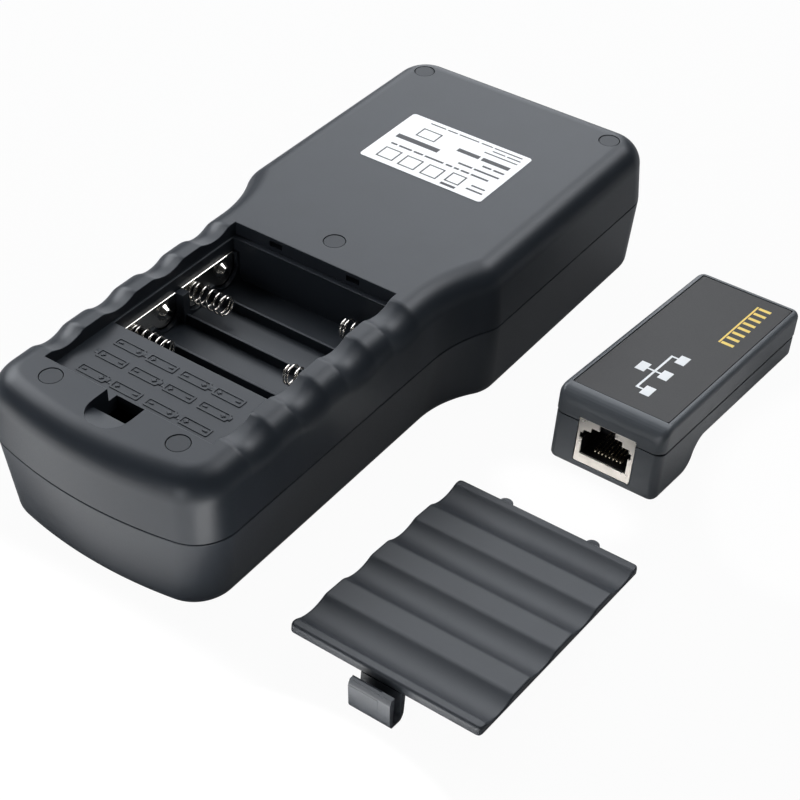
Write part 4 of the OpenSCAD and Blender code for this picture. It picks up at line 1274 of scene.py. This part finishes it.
# U latch, one springy strip from the cover's edge round to its lip
latch = {
    "half": 5.4,
    "leg": 1.2,
    "gap": 2.8,
    "drop": 4.6,
    "lean": 0.65,
    "bandTop": 0.6,       # where the outer face ends and the lip's slope starts
    "bandEdge": (0.06, 0.1),      # break of that edge, above and below it
    "lipTop": 2.3,
    "lipChamfer": 0.25,
    "lipRight": 2.2,      # the lip ends here, and the plain strip goes on
    "plainTop": 2.1,
    "plainInset": 0.1,
    "plainSlope": (0.12, 0.5),    # foot of its slope, in and up
    "plainRun": 0.55,
    "foot": 1.3,
    "sink": 0.02,         # its root under the cover's plate
    "mask": (4.0, 60.0),  # top and reach of the front view that trims it
    "merge": 0.004,
    "edge": 0.16,
}


def makeLatch():
    k, end = latch, cover["length"] / 2
    half, foot, band = k["half"], k["foot"], k["bandTop"]
    inner, outer = k["gap"] / 2, k["gap"] / 2 + k["leg"]
    middle = -end - inner
    root = cover["under"] - k["sink"]
    inside, lean = middle - inner, middle - outer - k["lean"]

    def strip(name, low, high, crest):
        outline = [(-end + k["leg"], root), (-end, root)]
        outline += arcPoints(middle, -k["drop"], inner, 0, -180, 16)
        outline += crest
        outline += arcPoints(middle, -k["drop"], outer, 180, 360, 24)
        return alongX(name, outline, low, high)

    cut, (above, below) = k["lipChamfer"], k["bandEdge"]
    lip = [(inside, k["lipTop"] - cut), (inside - cut, k["lipTop"])]
    lip += [(lean + above, band + above), (lean, band - below)]
    inset, (slopeIn, slopeUp) = k["plainInset"], k["plainSlope"]
    plain = [(inside - inset, band), (inside - inset, k["plainTop"]), (lean + k["plainRun"], k["plainTop"]),
             (lean + slopeIn, band + slopeUp), (lean + inset, band)]
    piece = strip("latchStrip", -half, half, plain)
    fuse(piece, strip("latchLip", -half, k["lipRight"], lip))
    low = -k["drop"] - outer
    top, reach = k["mask"]
    frontView = [(-half, top), (-half, low + foot)]
    frontView += arcPoints(-half + foot, low + foot, foot, 180, 270, 8)[1:]
    frontView += arcPoints(half - foot / 2, low + foot / 2, foot / 2, 270, 360, 8)
    frontView += [(half, top)]
    combine(piece, alongY("mask", frontView, -reach, 0), "INTERSECT")
    cleanMesh(piece, k["merge"])
    roundEdges(piece, k["edge"], cover["crease"])
    return piece


latchPiece = makeLatch()
soften(latchPiece, angle=cover["crease"])
placeMesh(latchPiece, coverPlace)
# the cover's finish, whose lighter tone is painted light on the latch's front face
paintPiece(latchPiece, "cover")
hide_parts("cover_latch")
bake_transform(latchPiece)
print("latch:", len(latchPiece.data.polygons), "faces")

# Remote: two shells lofted along its length
remote = {
    "at": (78.9, 2.8, 1.8955),
    "tilt": -7.2195,
    "yaw": 0.1,
    "half": 15.0,
    "length": 75.0,
    "top": 20.8,
    "parting": 13.6,
    "slit": 0.42,
    "step": 0.12,         # lower shell stands back by this
    "lip": 0.45,
    "rimEdge": 0.25,
    "noseRound": 4.4,
    "tailRound": 1.6,
    "corner": 2.6,        # in plan
    "topEdge": 1.6,
    "footEdge": 1.3,
    "footLength": 14.8,
    "rise": 7.4,
    "sweepLength": 10.0,
    "sweepRound": 4.5,
    "wall": 1.7,
    "noseWall": 2.2,
    "floor": 2.0,
    "roomStep": (3.6, 2.4),   # length and wall of the room's step under the sweep
    "roomLap": 0.1,
    "ceiling": 18.6,
    "cutTop": 30.0,
    "pocket": (13.25, 4.25, 73.05, 20.3),   # half width, near, far, floor
    "pocketEdge": 0.1,
    "pocketOver": 3.0,
    "screws": (32.4, 66.0),
    "screwBore": 2.05,
    "boreTop": 12.0,
    "jackAt": (0.3, 2.1),
    "jackRoom": ((-8.0, -1.0, 8.0, 15.9), 2.0, 14.9),   # outline, low, high
}
remotePlace = placing(remote["at"], remote["tilt"], remote["yaw"])
sweepTurn = 2 * math.atan(remote["rise"] / remote["sweepLength"])
sweepUpper = remote["sweepLength"] / math.sin(sweepTurn) - remote["sweepRound"]


def remoteHalf(y):
    r = remote["corner"]
    return remote["half"] - arcDrop(r, max(r - y, y - remote["length"] + r, 0))


def remoteTop(y):
    nose, tail = remote["noseRound"], remote["tailRound"]
    if y < nose:
        return remote["top"] - arcDrop(nose, nose - y)
    return remote["top"] - arcDrop(tail, max(y - remote["length"] + tail, 0))


def remoteUnder(y):
    # foot, sweep of two arcs, and the raised tail
    k = remote
    r, foot, last = k["tailRound"], k["footLength"], k["footLength"] + k["sweepLength"]
    if y < r:
        return arcDrop(r, r - y)
    if y < foot:
        return 0.0
    if y < foot + k["sweepRound"] * math.sin(sweepTurn):
        return arcDrop(k["sweepRound"], y - foot)
    if y < last:
        return k["rise"] - arcDrop(sweepUpper, last - y)
    return k["rise"] + arcDrop(r, max(y - k["length"] + r, 0))


def remoteStations(bothEnds, tailEnd=()):
    # places along the length, close together where the outline turns
    found = set()
    for r, steps in (*bothEnds, *tailEnd):
        found |= {round(remote["length"] - inset, 4) for inset, drop in quarterRound(r, steps)}
    for r, steps in bothEnds:
        found |= {round(inset, 4) for inset, drop in quarterRound(r, steps)}
    return found


def cutJackRoom(piece):
    outline, low, high = remote["jackRoom"]
    cutBy(piece, prismPiece("jackRoom", rectangle(*outline), low, high))


def makeUpperShell():
    k = remote
    base, lip, edge = k["parting"] + k["slit"] / 2, k["lip"], k["topEdge"]
    places = remoteStations(((k["noseRound"], 10), (k["corner"], 6)), ((k["tailRound"], 6),))
    loops = []
    for y in sorted(places):
        w, top = remoteHalf(y), remoteTop(y)
        side = arcPoints(w - lip, base + lip, lip, -90, 0, 4)
        side += arcPoints(w - edge, top - edge, edge, 0, 90, 6)
        loops.append(acrossY(bothSides(side), y))
    piece = loopPiece("remoteUpper", loops)
    inner = k["half"] - k["wall"]
    room = rectangle(-inner, k["noseWall"], inner, k["length"] - k["wall"])
    cutBy(piece, prismPiece("room", room, base - overlap, k["ceiling"]))
    half, near, far, floor = k["pocket"]
    pocket, rim = rectangle(-half, near, half, far), k["top"]
    cutBy(piece, flaredPrism("pocket", pocket, floor, rim, rim + k["pocketOver"], k["pocketEdge"]))
    cutJackRoom(piece)
    return piece


def makeLowerShell():
    k = remote
    rim, edge, soft, foot = k["parting"] - k["slit"] / 2, k["footEdge"], k["rimEdge"], k["footLength"]
    places = remoteStations(((k["tailRound"], 6), (k["corner"], 6)))
    for t in (sweepTurn * i / 10 for i in range(11)):
        places |= {round(foot + k["sweepRound"] * math.sin(t), 4),
                   round(foot + k["sweepLength"] - sweepUpper * math.sin(t), 4)}
    loops = []
    for y in sorted(places):
        w, low = remoteHalf(y) - k["step"], remoteUnder(y)
        side = arcPoints(w - edge, low + edge, edge, -90, 0, 6)
        side += arcPoints(w - soft, rim - soft, soft, 0, 90, 4)
        loops.append(acrossY(bothSides(side), max(y, k["step"])))
    piece = loopPiece("remoteLower", loops)
    inner, lap = k["half"] - k["wall"], k["roomLap"]
    run, under = k["roomStep"]
    for near, far, floor in ((k["wall"], foot, k["floor"]), (foot - lap, foot + run, k["rise"] - under),
                             (foot + run - lap, k["length"] - k["wall"], k["rise"] + k["wall"])):
        cutBy(piece, prismPiece("room", rectangle(-inner, near, inner, far), floor, k["cutTop"]))
    for y in k["screws"]:
        cutBy(piece, prismPiece("bore", circle(0, y, k["screwBore"], 40), -overlap, k["boreTop"]))
    cutJackRoom(piece)
    return piece


finishShell(makeUpperShell(), "remote", "remote", "remote_upper_shell", remotePlace)
finishShell(makeLowerShell(), "remote", "remote", "remote_lower_shell", remotePlace)

# Modular jacks: shield, insert and contact wires
jack = {
    "half": 7.8,
    "height": 12.6,
    "depth": 15.6,
    "front": 0.5,
    "canStart": 0.6,             # share of the front plate that the can overlaps
    "sheet": 0.35,
    "corner": 0.5,
    "edge": 0.06,
    "crease": 30,
    "floor": 2.5,
    "plugHalf": 6.4,
    "plugHeight": 7.0,
    "stepHalf": 4.3,
    "stepHeight": 1.3,
    "notchHalf": 2.1,
    "finger": (7.1, 6.9, 8.5),   # reach of the ground finger's window and its two heights
    "insertGap": 0.1,
    "way": (11.6, 20.0),         # depth and top of the plug's way
    "pins": 8,
    "pinPitch": 1.02,
    "pinWidth": 0.45,
    "pinThick": 0.35,
    "pinEdge": 0.08,
    # depth and height over the floor: bent at the front and rising to the back
    "pinPath": ((4.3, 0.02), (3.1, 0.06), (2.75, 0.2), (2.62, 0.42), (2.75, 0.62), (3.1, 0.78),
                (11.5, 2.2)),
}


def mouthOutline():
    # the mouth, open at the top, from its upper left corner round
    k = jack
    low, plugHalf, stepHalf = k["floor"], k["plugHalf"], k["stepHalf"]
    step = low + k["plugHeight"]
    notch = step + k["stepHeight"]
    reach, fingerLow, fingerHigh = k["finger"]
    left = [(-k["notchHalf"], notch), (-stepHalf, notch), (-stepHalf, step), (-plugHalf, step)]
    left += [(-plugHalf, fingerHigh), (-reach, fingerHigh), (-reach, fingerLow), (-plugHalf, fingerLow)]
    return bothSides(left + [(-plugHalf, low)])


def makeShield(name):
    k = jack
    half, high, r, s = k["half"], k["height"], k["corner"], k["sheet"]
    outer = [(k["notchHalf"], high)]
    w, h = half - r, high - r
    for x, z, start in ((w, h, 90), (w, r, 0), (-w, r, -90), (-w, h, 180)):
        outer += arcPoints(x, z, r, start, start - 90, 5)
    outer += [(-k["notchHalf"], high)]
    plate = alongY(name, outer + mouthOutline(), 0, k["front"])
    roundEdges(plate, k["edge"], k["crease"])
    shape = roundedRectangle(2 * half, high, r, 4, 0, high / 2)
    can = alongY("can", shape, k["front"] * k["canStart"], k["depth"])
    room = rectangle(-half + s, s, half - s, high - s)
    cutBy(can, alongY("canRoom", room, -overlap, k["depth"] - s))
    return joinMeshes(plate, can)


def makeInsert(name):
    k = jack
    s = k["sheet"] + k["insertGap"]
    shape = rectangle(-k["half"] + s, s, k["half"] - s, k["height"] - s)
    block = alongY(name, shape, k["front"] + k["insertGap"], k["depth"] - s)
    deep, top = k["way"]
    outline = [(-k["notchHalf"], top)] + mouthOutline() + [(k["notchHalf"], top)]
    cutBy(block, alongY("way", outline, -overlap, deep))
    return block


def makePins(name):
    k = jack
    path = [Vector((y, k["floor"] + z)) for y, z in k["pinPath"]]
    w, t = k["pinWidth"] / 2, k["pinThick"] / 2
    loops = []
    for i, p in enumerate(path):
        run = (path[min(i + 1, len(path) - 1)] - path[max(i - 1, 0)]).normalized()
        across = Vector((-run.y, run.x)) * t
        loops.append([(x, *(p + across * side)) for x, side in ((-w, -1), (w, -1), (w, 1), (-w, 1))])
    wire = loopPiece("pinShape", loops)
    roundEdges(wire, k["pinEdge"])
    places = [((i - (k["pins"] - 1) / 2) * k["pinPitch"], 0, 0) for i in range(k["pins"])]
    return copiesOf(name, wire, "gold", places)


def fitJack(prefix, body, place):
    for part, make, finish, slot in (("shield", makeShield, "tin", "shield_metal"),
                                     ("insert", makeInsert, "insert", "insert_plastic"),
                                     ("pins", makePins, "gold", "pin_gold")):
        piece = make(prefix + part.capitalize())
        soften(piece)
        placeMesh(piece, place)
        finishPiece(piece, finish, body, slot, prefix + "_jack_" + part)


fitJack("remote", "remote", remotePlace @ Matrix.Translation(Vector((0, *remote["jackAt"])) * mm))
for node in ("main", "loop"):
    low, high = boxOf(node + "_jack_shield")
    fitJack(node, "tester", placing(((low.x + high.x) / 2, high.y, low.z), 0, 180))
print("jacks fitted")

inkHeight = 0.012


# Flat print: copies of one square as (x, y, width, length) boxes at height z
def flatSign(name, finish, quads, z, place, body, slot):
    shape = prismPiece("signShape", rectangle(-0.5, -0.5, 0.5, 0.5), 0, inkHeight)
    places, sizes = [(x, y, z) for x, y, w, l in quads], [(w, l, 1) for x, y, w, l in quads]
    piece = copiesOf(name, shape, finish, places, None, sizes)
    soften(piece)
    placeMesh(piece, place)
    finishPiece(piece, finish, body, slot)


# Overlay film with plain signs
overlay = {
    "half": 13.0,
    "near": 4.5,
    "far": 72.8,
    "low": 20.3,
    "top": 20.68,
    "corner": 0.5,
    "edge": 0.05,
    "bars": (7.6, 46.0, 3.1, 8),       # x, first y, pitch, count of the yellow bars
    "barSize": (3.4, 1.2),
    "barLine": 0.5,                    # line along their ends, and its way from them
    "tree": (-1.0, 22.0),              # middle of the white sign
    "treeRows": (-2.6, 0.7, 3.7),      # x of the upper box, the cross line and the lower boxes
    "treeBox": (2.6, 4.2),
    "treeLine": 0.6,
    "treePitch": 9.0,
}


def barSign(k):
    (x, first, pitch, count), (width, length), line = k["bars"], k["barSize"], k["barLine"]
    last = (count - 1) * pitch
    bars = [(x, first + i * pitch, width, length) for i in range(count)]
    return bars + [(x - width / 2 - line, first + last / 2, line, last + length)]


def treeSign(k):
    (x, y), (width, length), line, pitch = k["tree"], k["treeBox"], k["treeLine"], k["treePitch"]
    upper, cross, lower = k["treeRows"]

    def stroke(start, end, d):
        return x + (start + end) / 2, y + d, end - start, line

    quads = [(x + upper, y, width, length), stroke(upper + width / 2, cross, 0)]
    quads.append((x + cross, y, line, 2 * pitch + line))
    for d in (-pitch, 0, pitch):
        quads += [stroke(cross + line / 2, lower - width / 2, d), (x + lower, y + d, width, length)]
    return quads


def makeOverlay():
    k = overlay
    middle, length = (k["near"] + k["far"]) / 2, k["far"] - k["near"]
    outline = roundedRectangle(2 * k["half"], length, k["corner"], 5, 0, middle)
    film = prismPiece("overlayFilm", outline, k["low"], k["top"])
    roundEdges(film, k["edge"])
    soften(film)
    placeMesh(film, remotePlace)
    finishPiece(film, "overlay", "remote", "overlay_film", "remote_overlay")
    for name, finish, quads in (("wireSign", "yellow", barSign(k)), ("networkSign", "white", treeSign(k))):
        flatSign(name, finish, quads, k["top"], remotePlace, "remote", "overlay_film")


makeOverlay()
print("overlay printed")

# Label with plain printed rules and frames
label = {
    "width": 38.6,
    "length": 25.3,
    "y": 49.3,
    "low": 40.0,
    "top": 40.1,
    "corner": 1.0,
    "rows": (
        # height from the middle, line weight, words as (start, length)
        (11.1, 0.5, ((-12.6, 5.0), (-7.0, 3.2), (-3.2, 6.4), (4.0, 3.6), (8.2, 8.8))),
        (9.5, 0.5, ((8.6, 4.0), (13.2, 4.2))),
        (7.9, 0.5, ((7.0, 10.4),)),
        (4.7, 1.6, ((0.6, 7.0), (8.4, 8.6))),
        (0.9, 1.9, ((-16.6, 13.6),)),
        (1.9, 0.75, ((10.4, 2.8), (13.8, 3.4))),
        (-0.6, 0.75, ((4.4, 4.4), (9.4, 7.8))),
        (-3.2, 0.75, ((-15.6, 2.0), (-13.0, 4.2), (-8.2, 3.0), (-4.6, 6.0))),
        (-3.2, 0.75, ((2.2, 2.0), (4.8, 1.6), (7.0, 2.6), (10.2, 5.4))),
        (-7.4, 0.65, ((13.2, 4.2),)),
        (-9.3, 0.65, ((12.8, 5.0),)),
        (-11.1, 1.0, ((5.9, 4.6),)),
    ),
    "frames": (
        # x, height from the middle, width, length
        (-9.6, 5.9, 6.2, 4.4),
        (-12.8, -8.0, 5.4, 5.2),
        (-5.7, -8.2, 5.4, 5.2),
        (1.4, -8.2, 5.2, 5.2),
        (8.2, -7.4, 4.6, 4.6),
    ),
    "line": 0.45,
}


def makeLabel():
    k = label
    outline = roundedRectangle(k["width"], k["length"], k["corner"], 6, 0, k["y"])
    film = prismPiece("labelFilm", outline, k["low"], k["top"])
    soften(film)
    finishPiece(film, "label", "tester", "label_paper", "rear_label")
    quads, t = [], k["line"]
    for v, weight, words in k["rows"]:
        quads += [(start + span / 2, k["y"] + v, span, weight) for start, span in words]
    for x, v, w, l in k["frames"]:
        y = k["y"] + v
        for side in (-0.5, 0.5):
            quads += [(x, y + side * (l - t), w, t), (x + side * (w - t), y, t, l - 2 * t)]
    flatSign("labelPrint", "ink", quads, k["top"], Matrix.Identity(4), "tester", "label_paper")


makeLabel()
print("label printed")

# Raised cell signs on the shelf, three rows with their poles turning about
relief = {
    "rows": ((-57.6, 20.0), (-63.2, 20.6), (-69.6, 20.6)),   # y, half length
    "perRow": 4,
    "cell": (8.6, 2.9),
    "corners": (0.5, 0.25),    # outside and inside
    "line": 0.5,
    "nub": (0.7, 1.3),
    "nubLap": 0.05,
    "sign": 1.3,
    "signInset": 1.6,
    "sink": 0.2,
    "height": 0.2,
    "edge": 0.1,
}


def makeCellSign():
    k = relief
    (w, l), line, (outer, inner) = k["cell"], k["line"], k["corners"]
    low, high = -k["sink"], k["height"]
    sign = prismPiece("cellSign", roundedRectangle(w, l, outer, 4), low, high)
    room = roundedRectangle(w - 2 * line, l - 2 * line, inner, 4)
    cutBy(sign, prismPiece("cellRoom", room, low - overlap, high + overlap))
    reach, nub = k["nub"][0], k["nub"][1] / 2
    s, t, pole = k["sign"] / 2, line / 2, w / 2 - k["signInset"]
    for outline in (rectangle(w / 2 - k["nubLap"], -nub, w / 2 + reach, nub),
                    rectangle(-pole - s, -t, -pole + s, t),
                    rectangle(pole - s, -t, pole + s, t),
                    rectangle(pole - t, -s, pole + t, s)):
        fuse(sign, prismPiece("mark", outline, low, high))
    cleanMesh(sign)
    roundEdges(sign, k["edge"])
    return sign


def makeRelief():
    k = relief
    places, turns = [], []
    for row, (y, reach) in enumerate(k["rows"]):
        span = 2 * reach / k["perRow"]
        for i in range(k["perRow"]):
            places.append((-reach + span * (i + 0.5), y, case["shelf"]))
            turns.append((0, 0, math.pi * ((i + row) % 2)))
    piece = copiesOf("cellRelief", makeCellSign(), "shell", places, turns)
    soften(piece)
    finishPiece(piece, "shell", "tester", "shell_plastic")


makeRelief()
print("shelf relief:", relief["perRow"] * len(relief["rows"]), "cells")

# Carried-over pieces: merged copies with softened edges and their own finish
carried = {
    # node: (finish, body, slot, edge mm)
    "case_screws": ("screw", "tester", "screw_steel", 0.1),
    "battery_leads": ("lead", "tester", "lead_sheath", 0.0),
    "main_board": ("board", "tester", "board_laminate", 0.0),
    "controller_chip": ("chip", "tester", "chip_plastic", 0.1),
    "driver_chips": ("chip", "tester", "chip_plastic", 0.1),
    "lcd_module": ("display", "tester", "display_panel", 0.1),
    "display_window": ("window", "tester", "window_plastic", 0.1),
    "keypad_mat": ("rubber", "tester", "mat_rubber", 0.1),
    "power_key": ("key", "power_key", "key_plastic", 0.4),
    "up_key": ("key", "up_key", "key_plastic", 0.4),
    "down_key": ("key", "down_key", "key_plastic", 0.4),
    "test_key": ("key", "test_key", "key_plastic", 0.4),
    "remote_board": ("board", "remote", "board_laminate", 0.0),
    "remote_network": ("chip", "remote", "chip_plastic", 0.0),
    "remote_screws": ("screw", "remote", "screw_steel", 0.1),
}
for node, (finish, body, slot, edge) in carried.items():
    piece = addObject(node + "Dressed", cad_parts[node].data.copy())
    cleanMesh(piece)
    soften(piece, edge)
    finishPiece(piece, finish, body, slot, node)
print("carried pieces dressed:", len(carried))

low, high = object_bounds()
